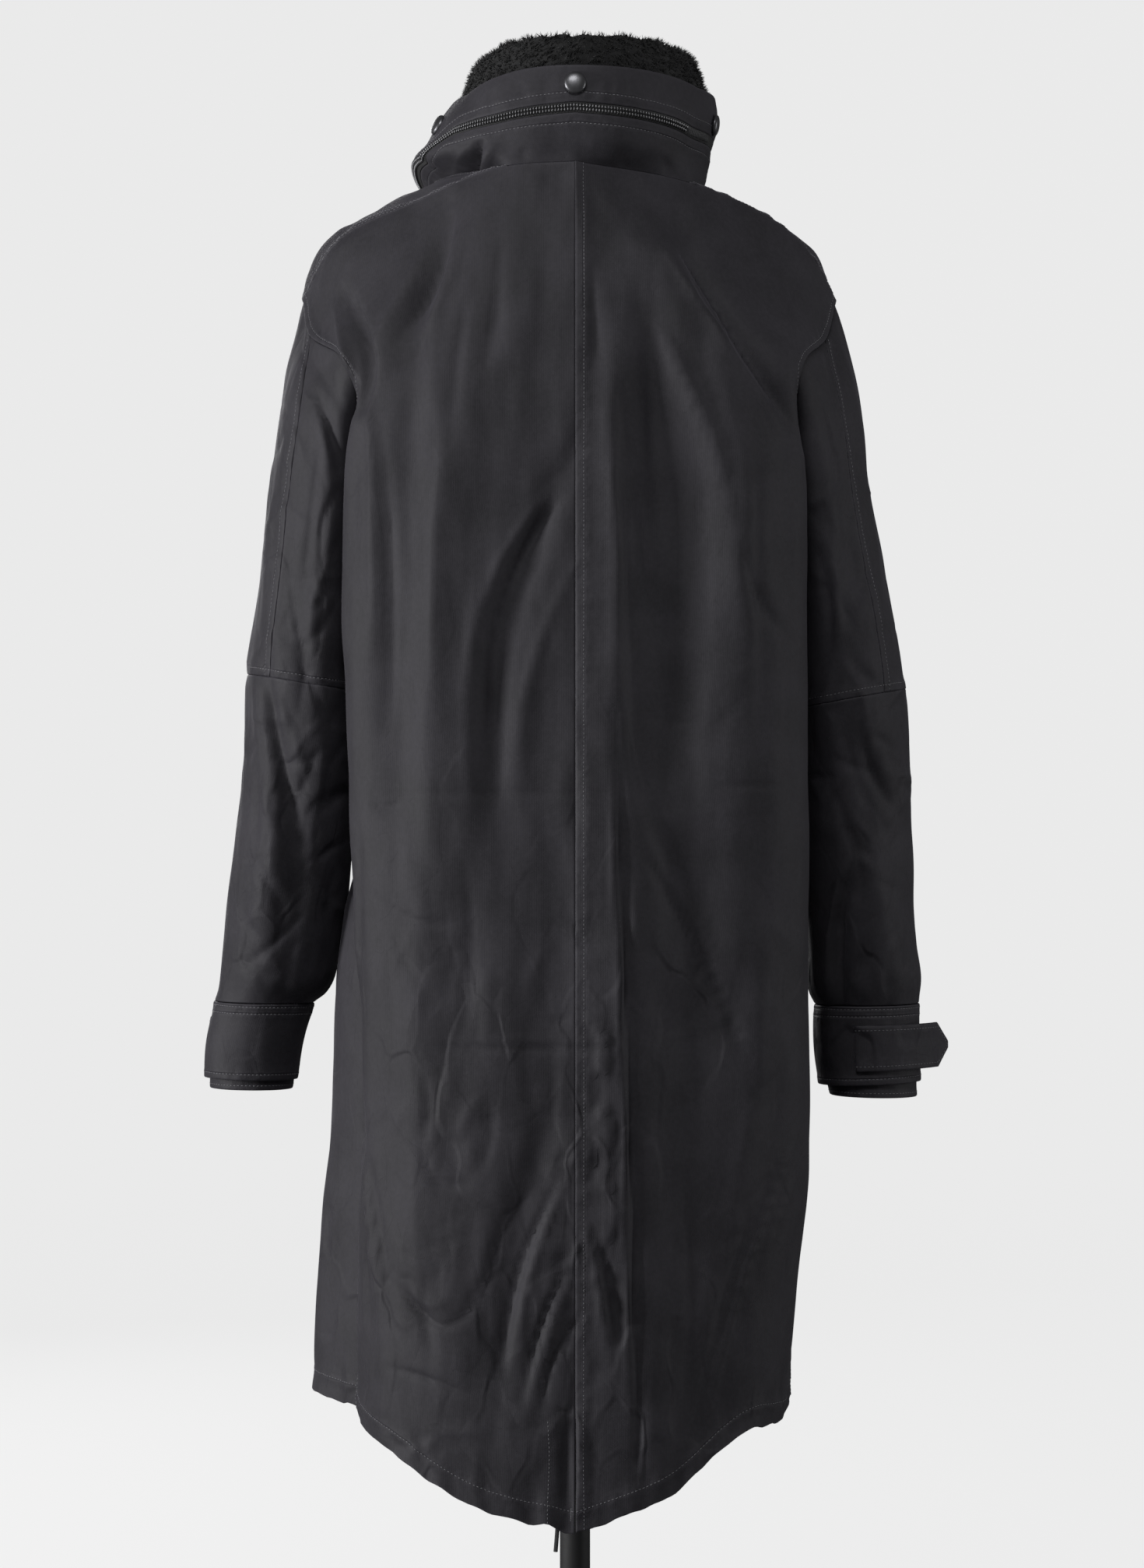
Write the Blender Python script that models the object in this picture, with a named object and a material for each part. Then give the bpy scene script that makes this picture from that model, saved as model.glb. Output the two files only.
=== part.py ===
"""A fishtail rain parka with a pile-lined stand collar, on a limbless dress form with a pole and a base.

The wearer faces +Y and the wearer's right is +X. The origin is under the middle of the base, on the floor.
Tables are in millimetres. Their x values are distances from the middle, positive on both sides.
"""

from math import atan2, cos, exp, hypot, pi, radians, sin

import bpy
from mathutils import Vector

MM = 0.001

# Driving dimensions, millimetres
WALL = 2.0  # cloth with its lining
COLLAR_WALL = 2.6
SEAM_GAP = 0.7  # between two pieces sewn together
LAY_GAP = 0.5  # under a piece that lies on another
VENT_TOP = 510.0
VENT_OPEN = 1.6
PILE_DEPTH = 11.0
COLLAR_END = 0.6  # half the gap between the collar's two ends at the centre front
ARMHOLE_GAP = 1.2
FLY_WALL = 1.8
FLY_SNAPS = 5
FLY_ABOVE_HEM = 8.0
FLY_BELOW_NECK = 3.0
ZIP_WIDTH = 8.0
SNAP_RADIUS = 9.0
SNAP_HEIGHT = 4.2
SNAP_BACK = 0.15  # how far a snap's back bulges, as a share of its height
CUFF_WALL = 2.2
INNER_CUFF_WALL = 1.6
STRAP_LIFT = 1.1  # from the cuff to the strap's inner face
STRAP_TIP = 3.0  # half the width of the strap's blunt point
CORD_DIAMETER = 3.4
CORD_ROUTE = ((-13, -141.6, 436), (-13.5, -141.8, 424), (-14.5, -142, 410), (-15.5, -141.5, 398))
POLE_RADIUS = 12.5
POLE_GAP = 0.3
BASE_RADIUS = 170.0
BASE_HEIGHT = 14.0

SIDES = {"left": -1, "right": 1}

# Body sections, hem to underarm. z is the height at the side seam, and hem_share is how much of the hem's
# fishtail the section follows. Then the depth of the centre back and centre front.
SECTIONS = (
    # name, z, hem_share, centre_back, centre_front
    ("hem", 500, 1.00, -146, 128),
    ("thigh", 620, 0.72, -145, 132),
    ("hip", 750, 0.42, -143, 136),
    ("waist", 880, 0.18, -140, 139),
    ("rib", 1000, 0.00, -138, 141),
    ("chest", 1100, 0.00, -137, 141),
    ("underarm", 1200, 0.00, -137, 140),
)

# The same sections at each side: the back panel's rounded edge, the side seam in the hollow behind it,
# the swell of the front panel past the seam, and the front's own corner.
SIDE_COLUMNS = ("edge_x", "edge_y", "seam_x", "seam_y", "swell_x", "swell_y", "corner_x", "corner_y")
SIDE_SECTIONS = {
    "left": {
        "hem": (177, -58, 179, -38, 218, 12, 172, 92),
        "thigh": (178, -66, 173, -46, 212, 12, 171, 95),
        "hip": (178, -74, 170, -46, 201, 12, 167, 98),
        "waist": (180, -82, 170, -42, 194, 8, 160, 99),
        "rib": (184, -86, 163, -34, 165, 22, 154, 100),
        "chest": (185, -91, 160, -26, 161, 30, 151, 100),
        "underarm": (184, -94, 159, -8, 159, 40, 148, 98),
    },
    "right": {
        "hem": (170, -60, 177, -14, 174, 36, 158, 90),
        "thigh": (181, -68, 182, -18, 175, 34, 158, 94),
        "hip": (189, -76, 184, -26, 175, 28, 158, 97),
        "waist": (188, -83, 174, -34, 168, 22, 156, 99),
        "rib": (188, -87, 164, -33, 163, 24, 153, 100),
        "chest": (187, -91, 160, -26, 160, 30, 150, 100),
        "underarm": (185, -94, 159, -8, 159, 40, 148, 98),
    },
}

# Heights of the hem along each panel's rails: centre outwards for the back, side seam inwards for the front.
HEM_HEIGHTS = {
    "left": {"back": (413, 434, 471, 489, 496), "front": (496, 502, 506, 506, 506)},
    "right": {"back": (413, 443, 489, 490, 503), "front": (503, 506, 506, 506, 506)},
}

# How far along a section its rails lie: from the centre seam to the side, and from the side to the front.
BACK_RAILS = (0.0, 0.30, 0.56, 0.74, 1.0)
FRONT_RAILS = (0.0, 0.18, 0.42, 0.72, 1.0)
BACK_QUARTER = 0.46  # of the edge's distance from the middle
BACK_BLADE = 0.83
FRONT_QUARTER = 0.55  # of the corner's distance

# The back above the underarm: centre, quarter, blade, edge and armhole, each as x, y, z.
BACK_UPPER = (
    ("scye", (0, -137, 1270), (84, -134, 1270), (155, -119, 1270), (185, -95, 1268), (174, -47, 1262)),
    ("lower_blade", (0, -133, 1355), (80, -130, 1353), (146, -115, 1349), (175, -102, 1346), (185, -91, 1345)),
    ("upper_blade", (0, -123, 1432), (70, -117, 1428), (140, -93, 1409), (192, -66, 1388), (218, -42, 1373)),
)
SHOULDER_SEAM = {
    "left": ((0, -104, 1504), (54, -99, 1501), (127, -64, 1478), (197, -38, 1446), (225, -8, 1404)),
    "right": ((0, -104, 1504), (92, -64, 1493), (134, -47, 1480), (188, -32, 1446), (216, -8, 1404)),
}

# The front above the underarm, armhole inwards. From the collarbone up the last point is on the neckline.
FRONT_UPPER = (
    ("scye", (176, 62, 1262), (162, 88, 1266), (134, 112, 1269), (72, 132, 1270), (0, 139, 1270)),
    ("breast", (184, 86, 1338), (161, 98, 1342), (126, 109, 1347), (68, 121, 1352), (0, 127, 1356)),
    ("collarbone", (206, 58, 1377), (180, 72, 1391), (140, 85, 1405), (76, 97, 1420), (0, 104, 1431)),
    ("shoulder", (221, 30, 1397), (198, 36, 1424), (156, 43, 1447), (110, 51, 1461), (74, 64, 1464)),
    ("ridge", (227, 4, 1406), (209, 2, 1450), (171, 1, 1475), (138, 0, 1489), (115, 0, 1498)),
)
# The right shoulder sits closer to the neck and lower, by shares of a point's distance from the middle.
RIGHT_SHOULDER_IN = 0.08
RIGHT_SHOULDER_IN_MOST = 12.0
RIGHT_SHOULDER_DOWN = 0.014

# Grid steps between one key section and the next, going up, and across a half panel.
LOWER_STEPS = (3, 2, 2, 2, 2, 2)
BACK_STEPS = (2, 2, 2, 2)
FRONT_STEPS = (2, 2, 2, 3, 3, 3)
FRONT_COLUMNS = (0.0, 0.12, 0.25, 0.38, 0.50, 0.61, 0.72, 0.81, 0.90, 1.0)
NECK_COLUMNS = (0.0, 0.08, 0.16, 0.23)
NECK_ROW = sum(LOWER_STEPS) + sum(FRONT_STEPS[:3])  # front row at the foot of the neck opening

# Main folds: a straight line across a face from (x, z) to (x, z), bowed sideways, with a soft section of the
# given half width, raised (or sunk, if negative) by its rise.
BODY_FOLDS = (
    # face, x0, z0, x1, z1, bow, width, rise
    ("back", 3, 1470, 6, 560, 0, 20, 3.5),
    ("back", 34, 1360, 58, 1050, 0, 20, -13),
    ("back", 40, 1090, 50, 400, 0, 17, -12),
    ("back", 72, 1490, 182, 1275, 10, 13, -7),
    ("back", 66, 1390, 116, 1220, 6, 16, 6),
    ("back", 42, 1000, 152, 750, 4, 15, -6),
    ("back", -86, 1430, -150, 1210, -10, 22, -8),
    ("back", -14, 1270, -68, 1040, -8, 26, -6),
    ("back", -96, 960, -104, 560, 12, 40, 7),
    ("back", -30, 700, -72, 500, 8, 15, -6),
    ("back", 162, 740, 104, 470, 0, 16, -6),
    ("back", 112, 1120, 118, 860, 0, 30, 6),
    ("front", -52, 1400, -108, 1120, -8, 22, -9),
    ("front", 48, 1380, 112, 1100, 8, 22, -9),
    ("front", -84, 1020, -70, 420, 6, 20, -11),
    ("front", 92, 1000, 76, 420, -6, 20, -11),
    ("front", -128, 900, -140, 520, 0, 18, -8),
    ("front", 132, 880, 128, 520, 0, 18, -8),
)

# Sleeve sections below the armhole: the point nearest the body and the outermost point as x, z, then the
# middle and half of the depth.
SLEEVE_COLUMNS = ("in_x", "in_z", "out_x", "out_z", "mid_y", "half_depth")
SLEEVE_SECTIONS = {
    "left": (
        ("cap", 169, 1186, 241, 1333, 4, 78),
        ("crown", 172, 1170, 251, 1262, 9, 80),
        ("bicep", 174, 1148, 259, 1190, 13, 80),
        ("upper", 175, 1110, 266, 1138, 15, 78),
        ("elbow", 177, 1080, 272, 1096, 18, 75),
        ("forearm", 180, 1018, 278, 1022, 26, 69),
        ("lower", 188, 935, 287, 938, 34, 62),
        ("wrist", 197, 866, 295, 870, 40, 55),
        ("bag", 205, 838, 299, 842, 42, 51),
        ("end", 219, 822, 302, 824, 43, 43),
    ),
    "right": (
        ("cap", 169, 1186, 233, 1333, 4, 78),
        ("crown", 172, 1170, 243, 1262, 9, 80),
        ("bicep", 174, 1148, 256, 1190, 13, 80),
        ("upper", 175, 1110, 267, 1138, 15, 78),
        ("elbow", 177, 1066, 275, 1084, 18, 75),
        ("forearm", 181, 1010, 279, 1014, 26, 69),
        ("lower", 188, 930, 283, 932, 34, 62),
        ("wrist", 194, 868, 287, 868, 38, 56),
        ("bag", 195, 838, 290, 840, 40, 52),
        ("end", 201, 821, 288, 822, 40, 44),
    ),
}
ELBOW = 5  # key section where the upper sleeve ends, counted from the armhole as 0
SLEEVE_STEPS = (2, 2, 1, 1, 2, 2, 2, 2, 1, 1)
# Angle round the sleeve, from its inner side over the back, that each armhole key point runs down to.
BACK_ANGLES = (0, 50, 92, 124, 170)
FRONT_ANGLES = (170, 178, 203, 230, 264, 310, 360)
BACK_SEAM_STEP = 6  # armhole step where the back seam of the upper sleeve starts

SLEEVE_FOLDS = {
    "left": (
        ("back", -258, 1110, -226, 930, 0, 9, -6),
        ("back", -216, 1330, -232, 1130, 0, 12, -5),
        ("back", -240, 1010, -262, 850, 6, 12, 5),
        ("front", -205, 1300, -240, 1110, 6, 14, -6),
        ("front", -250, 1090, -225, 930, 0, 10, -6),
    ),
    "right": (
        ("back", 214, 1330, 240, 1120, 0, 12, -5),
        ("back", 214, 1060, 262, 960, 0, 10, -6),
        ("back", 236, 960, 262, 850, 0, 12, 5),
        ("front", 205, 1300, 240, 1110, -6, 14, -6),
        ("front", 250, 1090, 225, 930, 0, 10, -6),
    ),
}

# Cuff and inner cuff sections, as for the sleeves.
CUFF_SECTIONS = {
    "left": (("middle", 228, 790, 309, 792, 44, 41), ("foot", 233, 758, 311, 760, 45, 40)),
    "right": (("middle", 201, 786, 289, 788, 41, 43), ("foot", 204, 754, 290, 757, 42, 42)),
}
INNER_CUFF_SECTIONS = {
    "left": (("top", 230.8, 790, 306.2, 792, 44, 38.2), ("foot", 237, 750, 306, 751, 45, 36)),
    "right": (("top", 203.8, 784, 286.2, 786, 41.2, 40.2), ("foot", 214, 745, 286.5, 744, 42, 38)),
}
# Cuff straps: angles round the cuff where each starts and leaves it, the length of its point beyond that, and
# how far it stands off there. The places are its lower edge, middle and upper edge on the cuff's sections.
STRAP_STEPS = 7
STRAP_PLACES = (1.62, 1.04, 0.46)
STRAPS = {
    "left": {"start": 195, "leave": 280, "point": 16, "stand_off": 1.0},
    "right": {"start": 72, "leave": 166, "point": 14, "stand_off": 12.0},
}

# Collar: how far its outer face reaches at shares of its height above the neckline.
COLLAR_SECTIONS = (
    # share, left, right, back, front
    (0.25, 134, 109, 110, 108),
    (0.50, 123, 114, 112, 109),
    (0.75, 114, 117, 112, 108),
    (1.00, 101, 116, 110, 104),
)
# The pile lining's outer face inside the collar, as shares of its height and depths inwards from the collar's
# face, and its roll above the collar's top edge, as heights and depths.
PILE_FACE = ((0.24, 5.0), (0.48, 4.6), (0.72, 4.4), (0.97, 4.4))
PILE_ROLL = ((12, 4.8), (22, 7.0), (28, 12.5), (26, 18.0), (14, 17.5))
PILE_SIDE_RISE = 0.4  # how much higher the roll stands at the sides than at the back, as a share
PILE_SIDE_LEAN = 1.35  # how much further in it leans there
COLLAR_TOP_BACK = 1580.0
COLLAR_TOP_FRONT = 1536.0
COLLAR_TOP_SIDE = {"left": 1566.0, "right": 1571.0}
# Share of the collar's height at which the zip runs, by angle from the centre back (left is negative).
ZIP_LINE = (
    (-180, 0.30),
    (-130, 0.22),
    (-90, 0.30),
    (-55, 0.46),
    (0, 0.55),
    (50, 0.52),
    (90, 0.46),
    (130, 0.40),
    (180, 0.40),
)
COLLAR_SNAPS = {"centre": (0, 0.80), "left": (-70, 0.66), "right": (84, 0.66)}  # angle, share of the height

# Dress form: rings from the hips up.
FORM_SECTIONS = (
    # z, half_width, back, front
    (790, 128, -96, 92),
    (900, 143, -104, 96),
    (1020, 134, -92, 88),
    (1120, 142, -98, 102),
    (1210, 150, -106, 108),
    (1300, 166, -108, 98),
    (1360, 178, -104, 84),
    (1400, 190, -90, 70),
    (1430, 196, -78, 56),
    (1450, 190, -70, 44),
    (1466, 172, -66, 32),
    (1478, 145, -66, 30),
    (1488, 119, -70, 40),
    (1498, 85, -70, 52),
    (1512, 66, -62, 54),
    (1535, 58, -56, 54),
    (1552, 54, -52, 52),
)
FORM_SIDES = 24
FORM_RIGHT_SHARE = 0.95  # of the half width, on the right
FORM_NECK_CAP = ((0.8, 5), (0.4, 8))  # share of the last ring's size, rise above it

COLOURS = {
    "shell": ((0.030, 0.031, 0.034), 0.62, 0.0),
    "pile": ((0.012, 0.012, 0.013), 0.95, 0.0),
    "zip": ((0.016, 0.016, 0.018), 0.40, 0.0),
    "snap": ((0.040, 0.041, 0.045), 0.32, 0.8),
    "cord": ((0.035, 0.035, 0.038), 0.80, 0.0),
    "form": ((0.55, 0.52, 0.47), 0.85, 0.0),
    "stand": ((0.012, 0.012, 0.013), 0.38, 0.6),
}


def clear_scene():
    for item in list(bpy.data.objects):
        bpy.data.objects.remove(item, do_unlink=True)


def material(name):
    made = bpy.data.materials.get(name)
    if made is None:
        colour, roughness, metallic = COLOURS[name]
        made = bpy.data.materials.new(name)
        made.use_nodes = True
        shader = made.node_tree.nodes["Principled BSDF"]
        shader.inputs["Base Color"].default_value = (*colour, 1)
        shader.inputs["Roughness"].default_value = roughness
        shader.inputs["Metallic"].default_value = metallic
    return made


def add_object(name, data, look):
    made = bpy.data.objects.new(name, data)
    data.materials.append(material(look))
    PARTS.objects.link(made)
    return made


# Smooth curves through key points


def slope(points, i):
    """The direction of the curve at a key point, weighted by the chords on either side of it."""
    if i == 0:
        return (points[1] - points[0]).normalized()
    if i == len(points) - 1:
        return (points[-1] - points[-2]).normalized()
    before, after = points[i] - points[i - 1], points[i + 1] - points[i]
    short, long = before.length, after.length
    return (before * (long / short) + after * (short / long)) / (short + long)


def through(points, place):
    """The point at a place on the curve. The whole part of a place is the key point last passed."""
    i = min(int(place), len(points) - 2)
    f = place - i
    a, b = points[i], points[i + 1]
    reach = (b - a).length
    rise = f * f * (3 - 2 * f)
    leaving, arriving = slope(points, i) * (f * (1 - f) ** 2), slope(points, i + 1) * (f * f * (1 - f))
    return a * (1 - rise) + b * rise + (leaving - arriving) * reach


def place_on(rails, share):
    """The place, for through(), of a share of a section's width."""
    for i in range(len(rails) - 1):
        if share <= rails[i + 1] or i == len(rails) - 2:
            return i + (share - rails[i]) / (rails[i + 1] - rails[i])


def spread(steps):
    """Places for rows, with the given number of steps from each key section to the next."""
    return [i + k / n for i, n in enumerate(steps) for k in range(n)] + [float(len(steps))]


def table_value(table, at):
    """A straight-line reading of a two-column table."""
    for (a, low), (b, high) in zip(table, table[1:]):
        if at <= b:
            return low + (high - low) * (at - a) / (b - a)
    return table[-1][1]


# Folds


def fold_rise(folds, x, z, facing):
    """How far the folds of one face move a point out, in millimetres, at x and z in millimetres."""
    total = 0.0
    for face, x0, z0, x1, z1, bow, width, rise in folds:
        if face != facing:
            continue
        run_x, run_z = x1 - x0, z1 - z0
        length = hypot(run_x, run_z)
        along = ((x - x0) * run_x + (z - z0) * run_z) / length**2
        if 0 < along < 1:
            across = ((x - x0) * run_z - (z - z0) * run_x) / length - bow * sin(pi * along)
            total += rise * exp(-((across / width) ** 2)) * min(1.0, 3.2 * sin(pi * along)) ** 1.5
    return total


def folded(point, folds, centre=Vector((0, 0, 0))):
    """A point with its folds, moved straight away from the middle of its section."""
    facing = "back" if point.y < centre.y else "front"
    out = Vector((point.x - centre.x, point.y - centre.y, 0))
    if out.length == 0:
        return point
    shift = fold_rise(folds, point.x, point.z, facing) * min(1.0, abs(point.y - centre.y) / 40)
    return point + out.normalized() * shift


# Body


def signed(side, point):
    return Vector((SIDES[side] * point[0], point[1], point[2]))


def lower_keys(side):
    """Key sections from hem to underarm, for the back (centre outwards) and the front (side inwards)."""
    backs, fronts = [], []
    for name, z, share, back_y, front_y in SECTIONS:
        s = dict(zip(SIDE_COLUMNS, SIDE_SECTIONS[side][name]))
        quarter, blade = BACK_QUARTER * s["edge_x"], BACK_BLADE * s["edge_x"]
        hems = HEM_HEIGHTS[side]
        tops = [z + share * (height - SECTIONS[0][1]) for height in hems["back"]]
        across = (
            (0, back_y),
            (quarter, back_y + 3),
            (blade, 0.68 * back_y + 0.32 * s["edge_y"]),
            (s["edge_x"], s["edge_y"]),
            (s["seam_x"], s["seam_y"]),
        )
        backs.append([signed(side, (x, y, top)) for (x, y), top in zip(across, tops)])
        tops = [z + share * (height - SECTIONS[0][1]) for height in hems["front"]]
        across = (
            (s["seam_x"], s["seam_y"]),
            (s["swell_x"], s["swell_y"]),
            (s["corner_x"], s["corner_y"]),
            (FRONT_QUARTER * s["corner_x"], front_y - 8),
            (0, front_y),
        )
        fronts.append([signed(side, (x, y, top)) for (x, y), top in zip(across, tops)])
    return backs, fronts


def shoulder_set(side, name, point):
    """The point of a section above the underarm, moved on the right side from the shoulder blade up."""
    x, y, z = point
    if side == "right" and name in ("upper_blade", "collarbone", "shoulder", "ridge"):
        return (x - min(RIGHT_SHOULDER_IN_MOST, x * RIGHT_SHOULDER_IN), y, z - x * RIGHT_SHOULDER_DOWN)
    return point


def seam_columns():
    """Shares across a back half of its columns under the shoulder seam, one for each front column."""
    neck = BACK_RAILS[1]
    return [neck + (1 - neck) * (1 - share) for share in reversed(FRONT_COLUMNS)]


def body_grids(side):
    """The outer faces of a back half and a front half as rows of points, hem up. The back's rows start at the
    centre back seam, and the front's at the side seam."""
    backs, fronts = lower_keys(side)
    backs += [[signed(side, shoulder_set(side, row[0], p)) for p in row[1:]] for row in BACK_UPPER]
    backs.append([signed(side, p) for p in SHOULDER_SEAM[side]])
    fronts += [[signed(side, shoulder_set(side, row[0], p)) for p in row[1:]] for row in FRONT_UPPER]
    back_columns = list(NECK_COLUMNS) + seam_columns()
    back = columns_through(backs, BACK_RAILS, back_columns, spread(LOWER_STEPS + BACK_STEPS))
    seam = [through(backs[-1], place_on(BACK_RAILS, share)) for share in reversed(seam_columns())]
    front = columns_through(fronts, FRONT_RAILS, FRONT_COLUMNS, spread(LOWER_STEPS + FRONT_STEPS), seam)
    for r in range(sum(LOWER_STEPS) + 1):
        front[r][0] = back[r][-1]
    for row in front[: NECK_ROW + 1]:
        row[-1].x = 0.0
    return back, front


def columns_through(keys, rails, columns, places, top=None):
    """A grid of points: each column is a smooth curve up through the key sections, and on to top."""
    grid = [[] for _ in places]
    for c, share in enumerate(columns):
        place = place_on(rails, share)
        line = [through(key, place) for key in keys]
        if top:
            line.append(top[c])
        for row, height in zip(grid, places):
            row.append(folded(through(line, height), BODY_FOLDS))
    return grid


def outward(rows, ring=False, sign=1):
    """The direction out of the cloth at each point of a grid, from the points around it."""
    last, count = len(rows) - 1, len(rows[0])
    outs = []
    for r, row in enumerate(rows):
        over, under = rows[min(r + 1, last)], rows[max(r - 1, 0)]
        line = []
        for c in range(count):
            ahead = row[(c + 1) % count] if ring else row[min(c + 1, count - 1)]
            behind = row[c - 1] if ring else row[max(c - 1, 0)]
            line.append((ahead - behind).cross(over[c] - under[c]).normalized() * sign)
        outs.append(line)
    return outs


class Piece:
    """A piece of cloth: rows of points on its outer face, the way out at each, and how it is finished."""

    def __init__(self, name, rows, ring=False, sign=1, wall=WALL, look="shell", **trims):
        self.name, self.rows, self.ring, self.sign = name, rows, ring, sign
        self.wall, self.look, self.trims = wall, look, trims
        self.outs = outward(rows, ring, sign)

    def build(self):
        outer = trimmed(self.rows, **self.trims)
        inner = [
            [p - out * self.wall for p, out in zip(row, line)] for row, line in zip(outer, self.outs)
        ]
        return add_wall(self.name, outer, inner, self.look, self.ring, self.sign < 0)


def sew(*pieces):
    """Gives pieces the same way out at the points that they share, so that a seam's edges stay parallel."""
    sums = {}
    for piece in pieces:
        for row, line in zip(piece.rows, piece.outs):
            for p, out in zip(row, line):
                key = tuple(round(v, 1) + 0.0 for v in p)
                sums[key] = sums.get(key, Vector()) + out
    for piece in pieces:
        piece.outs = [
            [sums[tuple(round(v, 1) + 0.0 for v in p)].normalized() for p in row] for row in piece.rows
        ]


def trimmed(grid, first=0.0, last=0.0, bottom=0.0, top=0.0):
    """The grid with an edge moved back along its rows or columns."""
    rows = [[p.copy() for p in row] for row in grid]
    for row in rows:
        if first:
            row[0] += (row[1] - row[0]).normalized() * first
        if last:
            row[-1] += (row[-2] - row[-1]).normalized() * last
    for c in range(len(rows[0])):
        if bottom:
            rows[0][c] += (rows[1][c] - rows[0][c]).normalized() * bottom
        if top:
            rows[-1][c] += (rows[-2][c] - rows[-1][c]).normalized() * top
    return rows


def split(points, corners):
    """Two triangles for a four-sided face, across its shorter diagonal."""
    a, b, c, d = corners
    if (points[a] - points[c]).length <= (points[b] - points[d]).length:
        return [(a, b, c), (a, c, d)]
    return [(a, b, d), (b, c, d)]


def add_wall(name, outer, inner, look, ring=False, flip=False):
    """A closed solid between two grids of points, its outer and inner faces, with a rim round its edge."""
    rows, columns = len(outer), len(outer[0])
    points = [p * MM for grid in (outer, inner) for row in grid for p in row]
    under = rows * columns
    faces = []
    for r in range(rows - 1):
        for c in range(columns if ring else columns - 1):
            a, b = r * columns + c, r * columns + (c + 1) % columns
            halves = split(points, (a, b, b + columns, a + columns))
            faces += halves + [tuple(v + under for v in reversed(half)) for half in halves]
            if r == 0:
                faces.append((b, a, a + under, b + under))
            if r == rows - 2:
                faces.append((a + columns, b + columns, b + columns + under, a + columns + under))
            if c == 0 and not ring:
                faces.append((a, a + columns, a + columns + under, a + under))
            if c == columns - 2 and not ring:
                faces.append((b + columns, b, b + under, b + columns + under))
    return add_mesh(name, points, faces, look, flip)


def add_mesh(name, points, faces, look, flip=False):
    mesh = bpy.data.meshes.new(name)
    mesh.from_pydata(points, [], [face[::-1] for face in faces] if flip else faces)
    mesh.shade_smooth()
    return add_object(name, mesh, look)


def body_pieces(grids):
    half = SEAM_GAP / 2
    pieces = {}
    for side, (back, front) in grids.items():
        for part, rows in (("back", back), ("front", front)):
            name = f"{part}_{side}"
            pieces[name] = Piece(name, rows, sign=SIDES[side], first=half, last=half + 0.1, top=half)
    sew(*pieces.values())
    for side in SIDES:
        for row in pieces[f"back_{side}"].rows:
            if row[0].z < VENT_TOP:
                row[0] = row[0] + Vector((SIDES[side] * VENT_OPEN, 0, 0))
    return pieces


def build_fly(pieces):
    """The strip over the closure, on the two fronts' last columns from above the hem to the neck."""
    left, right = pieces["front_left"], pieces["front_right"]
    top = NECK_ROW
    rows, outs = [], []
    for r in range(top + 1):
        rows.append([right.rows[r][-2], right.rows[r][-1], left.rows[r][-2]])
        outs.append([right.outs[r][-2], right.outs[r][-1], left.outs[r][-2]])
    rows = trimmed(rows, bottom=FLY_ABOVE_HEM, top=FLY_BELOW_NECK)
    under = [[p + out * LAY_GAP for p, out in zip(row, line)] for row, line in zip(rows, outs)]
    over = [[p + out * (LAY_GAP + FLY_WALL) for p, out in zip(row, line)] for row, line in zip(rows, outs)]
    add_wall("front_fly", over, under, "shell")
    for i in range(FLY_SNAPS):
        r = round(top - 1 - i * (top - 3) / (FLY_SNAPS - 1))
        add_snap(f"fly_snap_{i + 1}", over[r][1], outs[r][1])


def add_snap(name, point, out):
    """A domed press stud lying on the cloth: a lens, flattened on its back."""
    bpy.ops.mesh.primitive_uv_sphere_add(segments=12, ring_count=6, radius=1)
    made = bpy.context.object
    made.name = name
    for vertex in made.data.vertices:
        if vertex.co.z < 0:
            vertex.co.z *= SNAP_BACK
    made.scale = (SNAP_RADIUS * MM, SNAP_RADIUS * MM, SNAP_HEIGHT * MM)
    lift = SNAP_HEIGHT * SNAP_BACK + LAY_GAP
    made.location = (point + out * lift) * MM
    made.rotation_euler = out.to_track_quat("Z", "Y").to_euler()
    made.data.materials.append(material("snap"))
    made.data.shade_smooth()
    for owner in list(made.users_collection):
        owner.objects.unlink(made)
    PARTS.objects.link(made)
    return made


# Sleeves


def armhole(side, grids):
    """The armhole's points from the underarm up the back and down the front, and which way it faces."""
    back, front = grids[side]
    start = sum(LOWER_STEPS)
    loop = [row[-1] for row in back[start:]] + [row[0] for row in reversed(front[start + 1 : -1])]
    top = back[-1][-1]
    facing = (top - loop[0]).cross(Vector((0, 1, 0))) * SIDES[side]
    return loop, facing.normalized() * (1 if facing.x * SIDES[side] > 0 else -1)


def sleeve_angles():
    """The angle that each armhole point runs down to, in the same order as armhole()."""
    ups = [through_numbers(BACK_ANGLES, place) for place in spread(BACK_STEPS)]
    front_places = list(reversed(spread(FRONT_STEPS)))[1:-1]
    last = len(FRONT_STEPS)
    return ups + [through_numbers(FRONT_ANGLES, last - place) for place in front_places]


def through_numbers(values, place):
    i = min(int(place), len(values) - 2)
    return values[i] + (values[i + 1] - values[i]) * (place - i)


def ring_point(side, section, angle):
    """A point of a sleeve or cuff section. The angle runs from the inner side over the back."""
    s = dict(zip(SLEEVE_COLUMNS, section[1:]))
    inner = Vector((SIDES[side] * s["in_x"], s["mid_y"], s["in_z"]))
    outer = Vector((SIDES[side] * s["out_x"], s["mid_y"], s["out_z"]))
    depth = Vector((0, -s["half_depth"], 0))
    return (inner + outer) / 2 + (inner - outer) / 2 * cos(radians(angle)) + depth * sin(radians(angle))


def sleeve_grid(side, grids):
    """Rows of rings from the armhole to the cuff."""
    loop, facing = armhole(side, grids)
    start = [p + facing * ARMHOLE_GAP for p in loop]
    angles = sleeve_angles()
    places = spread(SLEEVE_STEPS)
    rows = [[] for _ in places]
    for j, angle in enumerate(angles):
        line = [start[j]] + [ring_point(side, section, angle) for section in SLEEVE_SECTIONS[side]]
        for row, place in zip(rows, places):
            row.append(through(line, place))
    for row in rows[1:]:
        centre = sum(row, Vector()) / len(row)
        row[:] = [folded(p, SLEEVE_FOLDS[side], centre) for p in row]
    return rows


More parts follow.
